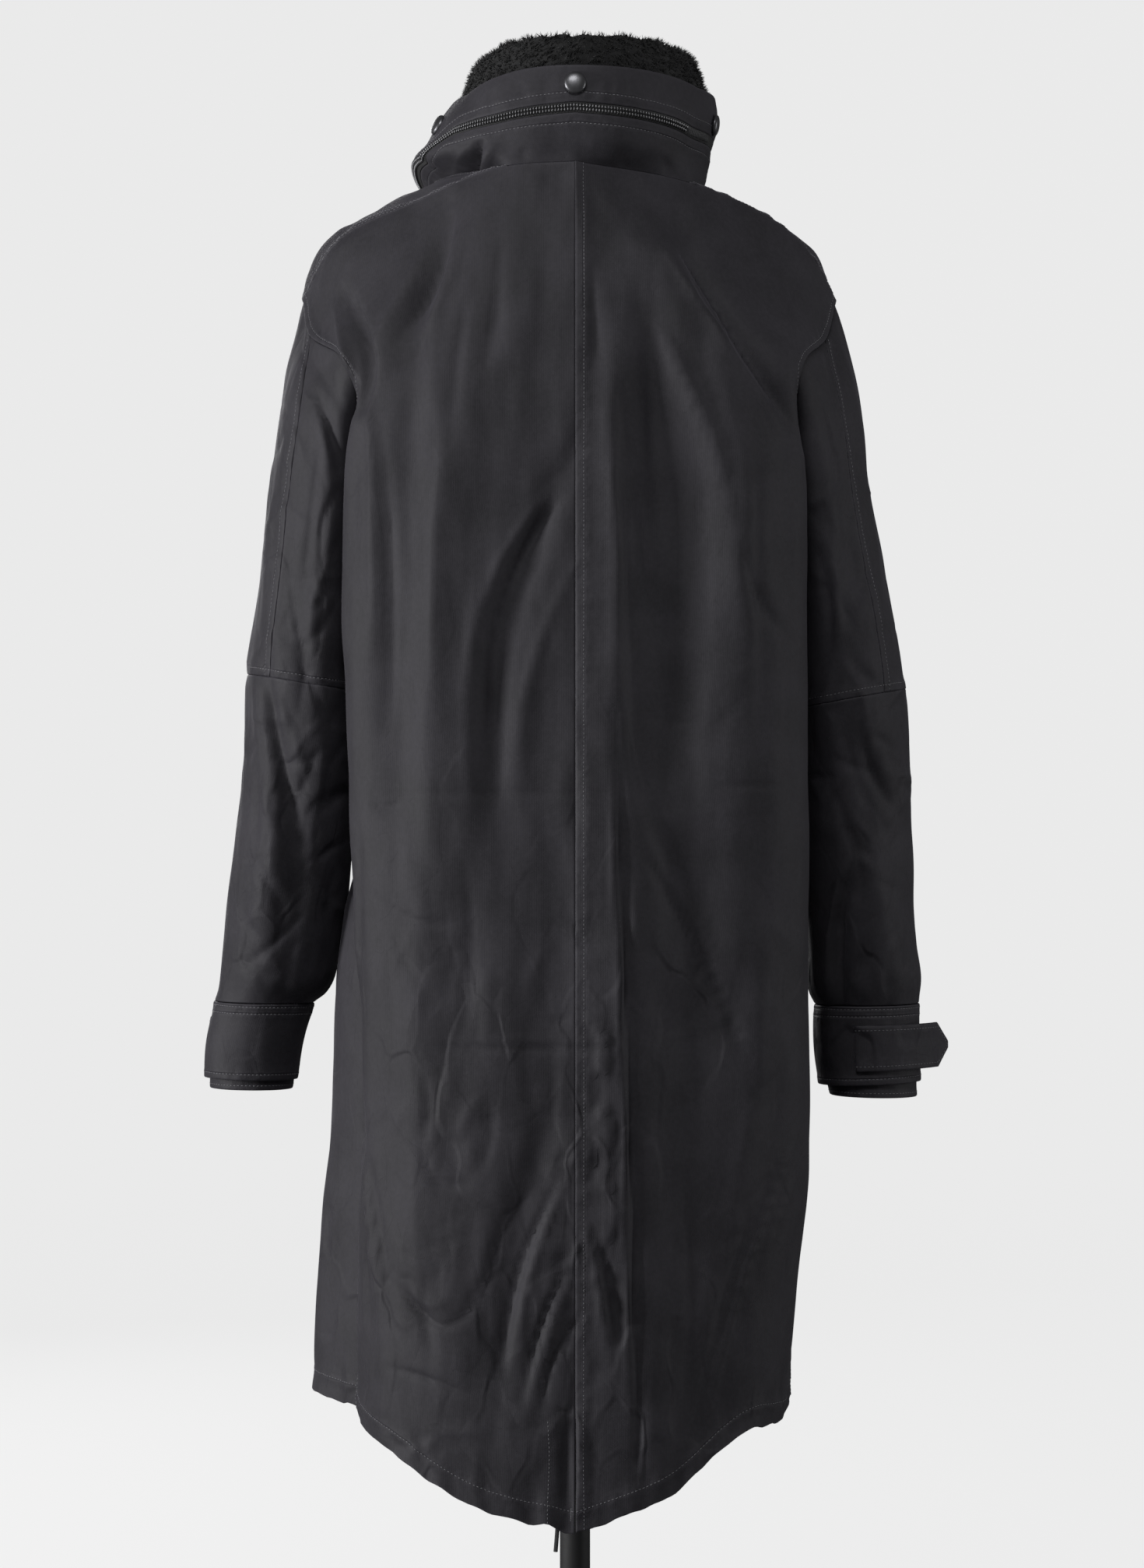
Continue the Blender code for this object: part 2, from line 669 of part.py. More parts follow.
def arc_rows(rows, first, last):
    """The part of each closed ring from one point to another, going on past the end if last is past it."""
    count = len(rows[0])
    return [[row[j % count] for j in range(first, last + 1)] for row in rows]


def build_sleeve(side, grids):
    rows = sleeve_grid(side, grids)
    half, slack, sign = SEAM_GAP / 2, SEAM_GAP * 0.6, -SIDES[side]
    elbow, count = sum(SLEEVE_STEPS[:ELBOW]), len(rows[0])
    upper, lower = rows[: elbow + 1], rows[elbow:]
    back = arc_rows(upper, 0, BACK_SEAM_STEP)
    front = arc_rows(upper, BACK_SEAM_STEP, count)
    pieces = (
        Piece(f"sleeve_upper_back_{side}", back, sign=sign, first=slack, last=slack, top=half),
        Piece(f"sleeve_upper_front_{side}", front, sign=sign, first=slack, last=slack, top=half),
        Piece(f"sleeve_lower_{side}", lower, ring=True, sign=sign, bottom=half, top=half),
    )
    sew(*pieces)
    for piece in pieces:
        piece.build()


def tube_grid(side, sections, steps, count=20):
    rows = []
    lines = [[ring_point(side, s, 360 * j / count) for s in sections] for j in range(count)]
    for place in spread(steps):
        rows.append([through(line, place) for line in lines])
    return rows


def cuff_sections(side):
    """The cuff's sections: the sleeve's last one, just below it, and its own."""
    name, in_x, in_z, out_x, out_z, mid_y, half_depth = SLEEVE_SECTIONS[side][-1]
    drop = SEAM_GAP * 0.6
    top = ("top", in_x, in_z - drop, out_x, out_z - drop, mid_y, half_depth)
    return (top, *CUFF_SECTIONS[side])


def build_cuff(side):
    cuff = tube_grid(side, cuff_sections(side), (1, 1))
    Piece(f"cuff_{side}", cuff, ring=True, sign=-SIDES[side], wall=CUFF_WALL).build()
    inner = tube_grid(side, INNER_CUFF_SECTIONS[side], (2,))
    Piece(f"cuff_inner_{side}", inner, ring=True, sign=-SIDES[side], wall=INNER_CUFF_WALL).build()


def build_strap(side):
    """A pointed strap lying round the cuff. Its end past the cuff's outer side stands off."""
    s, sections = STRAPS[side], cuff_sections(side)
    columns = []
    for k in range(STRAP_STEPS + 1):
        angle = s["start"] + (s["leave"] - s["start"]) * k / STRAP_STEPS
        here, ahead = ([ring_point(side, row, angle + turn) for row in sections] for turn in (0, 1))
        low, middle, high = (through(here, place) for place in STRAP_PLACES)
        along = (through(ahead, STRAP_PLACES[1]) - middle).normalized()
        up = (high - low).normalized()
        out = along.cross(up).normalized()
        if out.dot(middle - middle_of(side, sections)) < 0:
            out = -out
        lift = out * (STRAP_LIFT + WALL + s["stand_off"] * (k / STRAP_STEPS) ** 4)
        columns.append([low + lift, middle + lift, high + lift])
    turn = out * (s["stand_off"] * 0.6) + along * s["point"]
    tip = columns[-1][1] + turn
    columns.append([p + turn * 0.58 for p in columns[-1]])
    columns.append([tip - up * STRAP_TIP, tip, tip + up * STRAP_TIP])
    grid = [[column[r] for column in columns] for r in range(3)]
    Piece(f"cuff_strap_{side}", grid, sign=SIDES[side]).build()


def middle_of(side, sections):
    return (ring_point(side, sections[1], 0) + ring_point(side, sections[1], 180)) / 2


# Collar


def neckline(grids):
    """The neck edge of the body, from the left of the centre front round the back to the right."""
    line = []
    for side in ("left", "right"):
        back, front = grids[side]
        edge = [row[-1] for row in front[NECK_ROW:]]
        neck = [back[-1][c] for c in range(len(NECK_COLUMNS))]
        line.append(edge + neck[::-1])
    return line[0] + line[1][-2::-1]


def collar_angles(line):
    """The angle of each neckline point round the neck from the centre back, in radians, left negative."""
    middle = len(line) // 2
    return [abs(atan2(p.x, -p.y)) * (-1 if i < middle else 1) for i, p in enumerate(line)]


def collar_point(foot, angle, share):
    """A point of the collar's outer face over a neckline point, at a share of the collar's height."""
    ahead = max(0.0, -cos(angle))
    beside = COLLAR_TOP_SIDE["right" if angle > 0 else "left"]
    top = COLLAR_TOP_BACK + (beside - COLLAR_TOP_BACK) * min(1.0, 2 - 2 * cos(angle)) ** 1.2
    top += (COLLAR_TOP_FRONT - beside) * ahead**1.5
    keys = [foot]
    for level, left, right, back, front in COLLAR_SECTIONS:
        x = sin(angle) * (right if angle > 0 else left)
        y = -cos(angle) * (front if ahead else back)
        keys.append(Vector((x, y, foot.z + level * (top - foot.z))))
    return through(keys, share * (len(keys) - 1))


def collar_band(name, line, angles, lows, highs, steps, wall, look="shell"):
    """A band of the collar between two shares of its height. Its ways out come from the whole collar's face,
    so that bands one above the other keep their gap."""
    outer, inner = [], []
    for r in range(steps + 1):
        shares = [low + (high - low) * r / steps for low, high in zip(lows, highs)]
        row = [collar_point(*at) for at in zip(line, angles, shares)]
        over = [collar_point(p, angle, share + 0.02) for p, angle, share in zip(line, angles, shares)]
        outs = outward([row, over])[0]
        for end in (0, -1):
            outs[end] = Vector((0, outs[end].y, outs[end].z)).normalized()
        outer.append(row)
        inner.append([p - out * wall for p, out in zip(row, outs)])
    for grid in (outer, inner):
        grid[:] = trimmed(grid, first=COLLAR_END, last=COLLAR_END)
    add_wall(name, outer, inner, look)


def build_collar(grids):
    line = neckline(grids)
    angles = collar_angles(line)
    heights = [collar_point(p, angle, 1).z - p.z for p, angle in zip(line, angles)]
    zips = [table_value(ZIP_LINE, angle * 180 / pi) for angle in angles]
    foot = [SEAM_GAP / 2 / height for height in heights]
    tape = [ZIP_WIDTH / 2 / height for height in heights]
    edge = [(ZIP_WIDTH / 2 + SEAM_GAP * 1.5) / height for height in heights]
    below = [z - e for z, e in zip(zips, edge)]
    above = [z + e for z, e in zip(zips, edge)]
    collar_band("collar_lower", line, angles, foot, below, 2, COLLAR_WALL)
    collar_band("collar_upper", line, angles, above, [1] * len(line), 3, COLLAR_WALL)
    ends = [z - t for z, t in zip(zips, tape)], [z + t for z, t in zip(zips, tape)]
    collar_band("collar_zip", line, angles, *ends, 1, WALL, "zip")
    for name, (degrees, share) in COLLAR_SNAPS.items():
        i = min(range(len(line)), key=lambda j: abs(angles[j] * 180 / pi - degrees))
        at, over = (collar_point(line[i], angles[i], share + step) for step in (0, 0.05))
        round_it = Vector((cos(angles[i]), sin(angles[i]), 0))
        add_snap(f"collar_snap_{name}", at, round_it.cross(over - at).normalized())
    build_pile(line, angles)


def build_pile(line, angles):
    """The pile lining: a thick wall inside the collar that rolls over above its top edge."""
    sections = []
    for i, (p, angle) in enumerate(zip(line, angles)):
        rise_scale = 1 + PILE_SIDE_RISE * sin(angle) ** 2
        lean = 1 + PILE_SIDE_LEAN * sin(angle) ** 2
        inwards = Vector((-sin(angle), cos(angle), 0))
        top = collar_point(p, angle, 1)
        section = []
        for share, depth in PILE_FACE:
            section.append(collar_point(p, angle, share) + inwards * depth)
        for rise, depth in PILE_ROLL:
            section.append(top + inwards * depth * lean + Vector((0, 0, rise * rise_scale)))
        for share, depth in reversed(PILE_FACE):
            section.append(collar_point(p, angle, share) + inwards * (depth + PILE_DEPTH))
        end = -1 if i == 0 else 1 if i == len(line) - 1 else 0
        sections.append([point + Vector((end * COLLAR_END * 2, 0, 0)) for point in section])
    add_tube("collar_pile", sections, "pile")


def add_tube(name, sections, look, flip=False):
    """A closed solid lofted through closed sections, with a flat cap at each end."""
    size = len(sections[0])
    points = [p * MM for section in sections for p in section]
    faces = [tuple(range(size)), tuple(reversed(range(len(points) - size, len(points))))]
    for c in range(len(sections) - 1):
        for k in range(size):
            n = (k + 1) % size
            here, there = c * size, (c + 1) * size
            faces += split(points, (here + k, there + k, there + n, here + n))
    return add_mesh(name, points, faces, look, flip)


# Dress form and stand


def build_form():
    turns = [2 * pi * j / FORM_SIDES for j in range(FORM_SIDES)]
    rings = []
    for z, half_width, back, front in FORM_SECTIONS:
        middle, half = (back + front) / 2, (front - back) / 2
        widths = [half_width * (FORM_RIGHT_SHARE if turn < pi else 1) for turn in turns]
        rings.append([Vector((w * sin(t), middle - half * cos(t), z)) for w, t in zip(widths, turns)])
    top, last = FORM_SECTIONS[-1][0], rings[-1]
    for share, rise in FORM_NECK_CAP:
        rings.append([Vector((p.x * share, p.y * share, top + rise)) for p in last])
    add_tube("dress_form", rings, "form", flip=True)


def add_cylinder(name, radius, bottom, top, look, sides):
    bpy.ops.mesh.primitive_cylinder_add(vertices=sides, radius=radius * MM, depth=(top - bottom) * MM)
    made = bpy.context.object
    made.name = name
    made.location = (0, 0, (top + bottom) / 2 * MM)
    made.data.materials.append(material(look))
    for owner in list(made.users_collection):
        owner.objects.unlink(made)
    PARTS.objects.link(made)
    return made


def build_stand():
    add_cylinder("pole", POLE_RADIUS, BASE_HEIGHT + POLE_GAP, FORM_SECTIONS[0][0] - POLE_GAP, "stand", 24)
    add_cylinder("base", BASE_RADIUS, 0, BASE_HEIGHT, "stand", 48)


def build_cord():
    """The free end of the hem drawcord, from inside the back hem down past its edge."""
    curve = bpy.data.curves.new("hem_cord", "CURVE")
    curve.dimensions = "3D"
    curve.bevel_depth = CORD_DIAMETER / 2 * MM
    curve.bevel_resolution = 2
    curve.use_fill_caps = True
    points = [Vector(p) for p in CORD_ROUTE]
    line = [through(points, k / 2) for k in range(2 * (len(points) - 1) + 1)]
    run = curve.splines.new("POLY")
    run.points.add(len(line) - 1)
    for point, at in zip(run.points, line):
        point.co = (*(at * MM), 1)
    add_object("hem_cord", curve, "cord")


clear_scene()
PARTS = bpy.data.collections.new("rain_parka_on_dress_form")
bpy.context.scene.collection.children.link(PARTS)
GRIDS = {side: body_grids(side) for side in SIDES}
BODY = body_pieces(GRIDS)
for PIECE in BODY.values():
    PIECE.build()
build_fly(BODY)
for SIDE in SIDES:
    build_sleeve(SIDE, GRIDS)
    build_cuff(SIDE)
    build_strap(SIDE)
build_collar(GRIDS)
build_form()
build_stand()
build_cord()
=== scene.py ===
"""Looks of a fishtail rain parka with a pile-lined stand collar, on a limbless dress form with a stand.

The wearer faces +Y and the wearer's right is +X. Tables are in millimetres, and meshes are made in metres.
"""

from math import cos, pi, radians, sin

import bpy
import numpy as np
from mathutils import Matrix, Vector, noise


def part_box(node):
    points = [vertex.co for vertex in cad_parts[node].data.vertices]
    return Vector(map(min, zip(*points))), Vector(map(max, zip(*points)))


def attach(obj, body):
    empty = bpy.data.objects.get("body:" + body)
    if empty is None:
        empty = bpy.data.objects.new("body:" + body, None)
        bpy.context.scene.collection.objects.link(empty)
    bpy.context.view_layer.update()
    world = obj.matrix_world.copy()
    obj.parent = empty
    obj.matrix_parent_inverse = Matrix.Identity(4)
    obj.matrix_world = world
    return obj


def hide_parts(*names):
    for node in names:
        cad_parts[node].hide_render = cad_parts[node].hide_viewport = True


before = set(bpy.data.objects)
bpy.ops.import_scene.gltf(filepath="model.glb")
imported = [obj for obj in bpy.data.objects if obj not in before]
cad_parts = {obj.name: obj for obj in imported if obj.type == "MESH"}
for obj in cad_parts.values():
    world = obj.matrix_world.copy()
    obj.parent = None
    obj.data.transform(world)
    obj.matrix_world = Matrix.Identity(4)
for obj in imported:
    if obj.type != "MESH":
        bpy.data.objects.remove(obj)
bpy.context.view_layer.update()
MM = 0.001

# The body's sections and panels have the solids' own sizes, so that the cloth lies on them.
VENT_TOP = 510.0
VENT_OPEN = 0.5
VENT_FADE, VENT_SIDE = 25, 12  # how far down and across the vent's opening fades in
ARMHOLE_TUCK = 1.5  # how far the sleeve's edge reaches past the body's, and how far it lies under it
ARMHOLE_UNDER = 2.3
SEAM_GAP = 0.3
CLOTH = 1.5
COLLAR_CLOTH = 2.2
CUFF_CLOTH = 1.8
INNER_CUFF_CLOTH = 1.3
FLY_CLOTH = 1.5
LAY_GAP = 0.5
FLY_LIFT = 1.8
STRAP_LIFT = 1.1
CORD_DIAMETER = 3.4
POLE_RADIUS = 12.5
BASE_RADIUS = 170.0
BASE_HEIGHT = 14.0

SIDES = {"left": -1, "right": 1}

SECTIONS = (
    # name, z, hem_share, centre_back, centre_front
    ("hem", 500, 1.00, -146, 128),
    ("thigh", 620, 0.72, -145, 132),
    ("hip", 750, 0.42, -143, 136),
    ("waist", 880, 0.18, -140, 139),
    ("rib", 1000, 0.00, -138, 141),
    ("chest", 1100, 0.00, -137, 141),
    ("underarm", 1200, 0.00, -137, 140),
)

SIDE_COLUMNS = ("edge_x", "edge_y", "seam_x", "seam_y", "swell_x", "swell_y", "corner_x", "corner_y")
SIDE_SECTIONS = {
    "left": {
        "hem": (177, -58, 179, -38, 218, 12, 172, 92),
        "thigh": (178, -66, 173, -46, 212, 12, 171, 95),
        "hip": (178, -74, 170, -46, 201, 12, 167, 98),
        "waist": (180, -82, 170, -42, 194, 8, 160, 99),
        "rib": (184, -86, 163, -34, 165, 22, 154, 100),
        "chest": (185, -91, 160, -26, 161, 30, 151, 100),
        "underarm": (184, -94, 159, -8, 159, 40, 148, 98),
    },
    "right": {
        "hem": (170, -60, 177, -14, 174, 36, 158, 90),
        "thigh": (181, -68, 182, -18, 175, 34, 158, 94),
        "hip": (189, -76, 184, -26, 175, 28, 158, 97),
        "waist": (188, -83, 174, -34, 168, 22, 156, 99),
        "rib": (188, -87, 164, -33, 163, 24, 153, 100),
        "chest": (187, -91, 160, -26, 160, 30, 150, 100),
        "underarm": (185, -94, 159, -8, 159, 40, 148, 98),
    },
}

HEM_HEIGHTS = {
    "left": {"back": (413, 434, 471, 489, 496), "front": (496, 502, 506, 506, 506)},
    "right": {"back": (413, 443, 489, 490, 503), "front": (503, 506, 506, 506, 506)},
}

BACK_RAILS = (0.0, 0.30, 0.56, 0.74, 1.0)
FRONT_RAILS = (0.0, 0.18, 0.42, 0.72, 1.0)
BACK_QUARTER, BACK_QUARTER_IN = 0.46, 3
BACK_BLADE, BLADE_SHARE = 0.83, 0.68
FRONT_QUARTER, FRONT_QUARTER_IN = 0.55, 8

BACK_UPPER = (
    ("scye", (0, -137, 1270), (84, -134, 1270), (155, -119, 1270), (185, -95, 1268), (174, -47, 1262)),
    ("lower_blade", (0, -133, 1355), (80, -130, 1353), (146, -115, 1349), (175, -102, 1346), (185, -91, 1345)),
    ("upper_blade", (0, -123, 1432), (70, -117, 1428), (140, -93, 1409), (192, -66, 1388), (218, -42, 1373)),
)
SHOULDER_SEAM = {
    "left": ((0, -104, 1504), (54, -99, 1501), (127, -64, 1478), (197, -38, 1446), (225, -8, 1404)),
    "right": ((0, -104, 1504), (92, -64, 1493), (134, -47, 1480), (188, -32, 1446), (216, -8, 1404)),
}
FRONT_UPPER = (
    ("scye", (176, 62, 1262), (162, 88, 1266), (134, 112, 1269), (72, 132, 1270), (0, 139, 1270)),
    ("breast", (184, 86, 1338), (161, 98, 1342), (126, 109, 1347), (68, 121, 1352), (0, 127, 1356)),
    ("collarbone", (206, 58, 1377), (180, 72, 1391), (140, 85, 1405), (76, 97, 1420), (0, 104, 1431)),
    ("shoulder", (221, 30, 1397), (198, 36, 1424), (156, 43, 1447), (110, 51, 1461), (74, 64, 1464)),
    ("ridge", (227, 4, 1406), (209, 2, 1450), (171, 1, 1475), (138, 0, 1489), (115, 0, 1498)),
)
RIGHT_SHOULDER_IN = 0.08
RIGHT_SHOULDER_IN_MOST = 12.0
RIGHT_SHOULDER_DOWN = 0.014
UNDERARM = 6  # key section where the armholes start
NECK_KEY = 9  # front key section at the foot of the neck opening

# Folds and creases: a line across a face through three points (x, z), listed from its upper end, with a
# section of the given half width, raised or sunk by its rise.


def on_face(face, *rows):
    """Rows of creases with the name of the face that they are on."""
    return tuple((face, *row) for row in rows)


BODY_FOLDS = on_face(
    "back",
    # x0, z0, x1, z1, x2, z2, width, rise
    (28, 1400, 36, 860, 44, 380, 30, 7),
    (50, 1440, 74, 1250, 90, 980, 25, -14),
    (84, 1110, 100, 800, 104, 360, 38, -11),
    (78, 1480, 128, 1360, 184, 1268, 14, -10),
    (112, 1380, 132, 1200, 130, 980, 24, 8),
    (52, 1010, 104, 870, 154, 740, 14, -4),
    (-98, 1480, -126, 1390, -166, 1290, 13, -10),
    (-124, 1410, -143, 1200, -138, 940, 18, -9),
    (8, 1290, -50, 1170, -58, 900, 15, -7),
    (-84, 1380, -98, 1120, -92, 860, 28, 6),
    (-150, 1120, -150, 800, -144, 400, 30, -6),
    (-14, 760, -50, 640, -72, 470, 17, -6),
    (168, 800, 142, 620, 104, 440, 17, -6),
) + on_face(
    "front",
    (-48, 1430, -80, 1260, -108, 1060, 20, -9),
    (44, 1400, 78, 1240, 112, 1040, 20, -9),
    (-80, 1130, -78, 760, -70, 380, 20, -11),
    (90, 1110, 86, 760, 76, 380, 20, -11),
    (-124, 1000, -134, 740, -140, 460, 18, -8),
    (130, 980, 130, 740, 128, 460, 18, -8),
)

# Sleeve sections below the armhole: the point nearest the body and the outermost point as x, z, then the
# middle and half of the depth.
SLEEVE_SECTIONS = {
    "left": (
        # name, in_x, in_z, out_x, out_z, mid_y, half_depth
        ("cap", 169, 1186, 241, 1333, 4, 78),
        ("crown", 172, 1170, 251, 1262, 9, 80),
        ("bicep", 174, 1148, 259, 1190, 13, 80),
        ("upper", 175, 1110, 266, 1138, 15, 78),
        ("elbow", 177, 1080, 272, 1096, 18, 75),
        ("forearm", 180, 1018, 278, 1022, 26, 69),
        ("lower", 188, 935, 287, 938, 34, 62),
        ("wrist", 197, 866, 295, 870, 40, 55),
        ("bag", 205, 838, 299, 842, 42, 51),
        ("end", 219, 822, 302, 824, 43, 43),
    ),
    "right": (
        ("cap", 169, 1186, 233, 1333, 4, 78),
        ("crown", 172, 1170, 243, 1262, 9, 80),
        ("bicep", 174, 1148, 256, 1190, 13, 80),
        ("upper", 175, 1110, 267, 1138, 15, 78),
        ("elbow", 177, 1066, 275, 1084, 18, 75),
        ("forearm", 181, 1010, 279, 1014, 26, 69),
        ("lower", 188, 930, 283, 932, 34, 62),
        ("wrist", 194, 868, 287, 868, 38, 56),
        ("bag", 195, 838, 290, 840, 40, 52),
        ("end", 201, 821, 288, 822, 40, 44),
    ),
}
ELBOW = 5  # key section where the upper sleeve ends, counted from the armhole as 0
# Angle round the sleeve, from its inner side over the back, that each armhole key point runs down to.
BACK_ANGLES = (0, 50, 92, 124, 170)
FRONT_ANGLES = (170, 178, 203, 230, 264, 310, 360)
SLEEVE_SEAM_KEY = 3  # armhole key point where the back seam of the upper sleeve starts

SLEEVE_FOLDS = {
    "left": on_face(
        "back",
        (-258, 1130, -242, 1020, -224, 900, 10, -7),
        (-212, 1350, -224, 1230, -232, 1110, 14, -3),
        (-196, 1320, -200, 1150, -202, 930, 17, 8),
        (-238, 1030, -254, 930, -264, 840, 14, 5),
    ) + on_face(
        "front",
        (-205, 1330, -226, 1210, -240, 1090, 16, -6),
        (-252, 1110, -240, 1010, -222, 910, 11, -6),
    ),
    "right": on_face(
        "back",
        (212, 1350, 228, 1230, 240, 1100, 14, -5),
        (212, 1070, 236, 1010, 264, 950, 12, -6),
        (234, 970, 250, 900, 264, 840, 14, 5),
    ) + on_face(
        "front",
        (205, 1330, 226, 1210, 240, 1090, 16, -6),
        (252, 1110, 240, 1010, 222, 910, 11, -6),
    ),
}

CUFF_SECTIONS = {
    "left": (("middle", 228, 790, 309, 792, 44, 41), ("foot", 233, 758, 311, 760, 45, 40)),
    "right": (("middle", 201, 786, 289, 788, 41, 43), ("foot", 204, 754, 290, 757, 42, 42)),
}
INNER_CUFF_SECTIONS = {
    "left": (("top", 230.8, 790, 306.2, 792, 44, 38.2), ("foot", 237, 750, 306, 751, 45, 36)),
    "right": (("top", 203.8, 784, 286.2, 786, 41.2, 40.2), ("foot", 214, 745, 286.5, 744, 42, 38)),
}
STRAP_PLACES = (1.62, 0.46)  # the strap's lower and upper edge on the cuff's sections
STRAPS = {
    "left": {"start": 195, "leave": 280, "point": 16, "stand_off": 1.0},
    "right": {"start": 72, "leave": 166, "point": 14, "stand_off": 12.0},
}

COLLAR_SECTIONS = (
    # share, left, right, back, front
    (0.25, 134, 109, 110, 108),
    (0.50, 123, 114, 112, 109),
    (0.75, 114, 117, 112, 108),
    (1.00, 101, 116, 110, 104),
)
PILE_FACE = ((0.24, 5.0), (0.48, 4.6), (0.72, 4.4), (0.97, 4.4))
PILE_ROLL = ((12, 4.8), (22, 7.0), (28, 12.5), (26, 18.0), (14, 17.5))
PILE_DEPTH = 11.0
PILE_SIDE_RISE = 0.4
PILE_SIDE_LEAN = 1.35
COLLAR_TOP_BACK = 1580.0
COLLAR_TOP_FRONT = 1536.0
COLLAR_TOP_SIDE = {"left": 1566.0, "right": 1571.0}
COLLAR_END = 0.6  # how far the collar's ends are from the centre front
COLLAR_RADIUS = 108.0
COLLAR_ROUND, COLLAR_COLUMN, COLLAR_ROW = 700, 3.4, 2.2
ZIP_WIDTH = 8.0
# Share of the collar's height at which the zip runs, by angle from the centre back (left is negative).
ZIP_LINE = (
    (-180, 0.30),
    (-130, 0.20),
    (-90, 0.20),
    (-70, 0.22),
    (-62, 0.36),
    (-52, 0.47),
    (0, 0.55),
    (50, 0.52),
    (90, 0.46),
    (130, 0.40),
    (180, 0.40),
)

FORM_SECTIONS = (
    # z, half_width, back, front
    (790, 128, -96, 92),
    (900, 143, -104, 96),
    (1020, 134, -92, 88),
    (1120, 142, -98, 102),
    (1210, 150, -106, 108),
    (1300, 166, -108, 98),
    (1360, 178, -104, 84),
    (1400, 190, -90, 70),
    (1430, 196, -78, 56),
    (1450, 190, -70, 44),
    (1466, 172, -66, 32),
    (1478, 145, -66, 30),
    (1488, 119, -70, 40),
    (1498, 85, -70, 52),
    (1512, 66, -62, 54),
    (1535, 58, -56, 54),
    (1552, 54, -52, 52),
)
FORM_RIGHT_SHARE = 0.95
FORM_INSET, FORM_SIDES = 1, 96
FORM_DOME = ((0.97, 1.6), (0.8, 5), (0.4, 7.5), (0.1, 8))  # share of the top section's size, and height
STAND_GAP = 0.3

CORD_ROUTE = ((-13, -141.6, 436), (-13.5, -141.8, 424), (-14.5, -142, 410), (-15.5, -141.5, 398))


# Smooth curves through key points


def through(keys, places):
    """Points on smooth curves. keys holds key points by (key, curve, xyz). places, by (row,) or (row, curve),
    counts key points passed: 1.5 lies half way between the second and the third."""
    keys = np.asarray(keys, float)
    chords = np.diff(keys, axis=0)
    lengths = np.linalg.norm(chords, axis=-1, keepdims=True)
    short, long = lengths[:-1], lengths[1:]
    inner = (chords[:-1] * (long / short) + chords[1:] * (short / long)) / (short + long)
    slopes = np.concatenate([chords[:1] / lengths[:1], inner, chords[-1:] / lengths[-1:]])
    places = np.asarray(places, float)
    if places.ndim == 1:
        places = places[:, None]
    places = np.broadcast_to(places, (len(places), keys.shape[1]))
    i = np.clip(places.astype(int), 0, len(keys) - 2)
    f = (places - i)[..., None]

    def pick(values, index):
        return np.take_along_axis(values, index[..., None], axis=0)

    rise = f * f * (3 - 2 * f)
    bend = pick(slopes, i) * f * (1 - f) ** 2 - pick(slopes, i + 1) * f * f * (1 - f)
    return pick(keys, i) * (1 - rise) + pick(keys, i + 1) * rise + bend * pick(lengths, i)


def places_on(rails, shares):
    """The places, for through(), of shares of a section's width."""
    return np.interp(shares, rails, range(len(rails)))


def spread(steps):
    """Places for rows, with the given number of steps from each key section to the next."""
    return [i + k / n for i, n in enumerate(steps) for k in range(n)] + [float(len(steps))]


def edged(places, low, high=None):
    """Places with more of them near both ends, where a piece's edge turns in. A step of 1 is low millimetres
    long at the first end and high millimetres long at the last."""
    first = [places[0] + step / low for step in NEAR_EDGE]
    last = [places[-1] - step / (high or low) for step in NEAR_EDGE]
    between = [p for p in places if first[-1] + 1 / low < p < last[-1] - 1 / (high or low)]
    return np.array([places[0], *first, *between, *reversed(last), places[-1]])


def unit(vectors):
    return vectors / np.maximum(np.linalg.norm(vectors, axis=-1, keepdims=True), 1e-12)


# Creases

CREASE_START, CREASE_SPREAD = 0.6, 0.8  # share of its width at a crease's upper end, and what it gains below
CREASE_FADE = 0.8
SIDE_FADE = 40  # creases fade this near, front to back, to the middle of a section


def crease_rise(creases, points, facing, crisp):
    """How far the creases of the face that each point is on move it out, in millimetres. They start narrow at
    their upper end and fade towards both ends. Crisp ones have a sharp crest."""
    x, z = points[..., 0], points[..., 2]
    total = np.zeros(x.shape)
    for face, x0, z0, x1, z1, x2, z2, width, rise in creases:
        run_x, run_z = x2 - x0, z2 - z0
        length = np.hypot(run_x, run_z)
        bow = ((x1 - x0) * run_z - (z1 - z0) * run_x) / length
        along = np.clip(((x - x0) * run_x + (z - z0) * run_z) / length**2, 0, 1)
        arch = np.sin(pi * along)
        across = ((x - x0) * run_z - (z - z0) * run_x) / length - bow * arch
        across = across / (width * (CREASE_START + CREASE_SPREAD * along))
        if crisp:
            section = np.exp(-1.6 * (np.sqrt(across**2 + 0.09) - 0.3))
        else:
            section = np.exp(-(across**2))
        total += (facing == face) * rise * section * arch**CREASE_FADE
    return total


def creased(points, creases, centre=None, crisp=False):
    """Points with their creases, moved straight away from the middle of their section."""
    if centre is None:
        centre = np.zeros(3)
    away = points - centre
    away[..., 2] = 0
    facing = np.where(away[..., 1] < 0, "back", "front")
    rise = crease_rise(creases, points, facing, crisp) * np.minimum(1.0, np.abs(away[..., 1]) / SIDE_FADE)
    return points + unit(away) * rise[..., None]


# Body


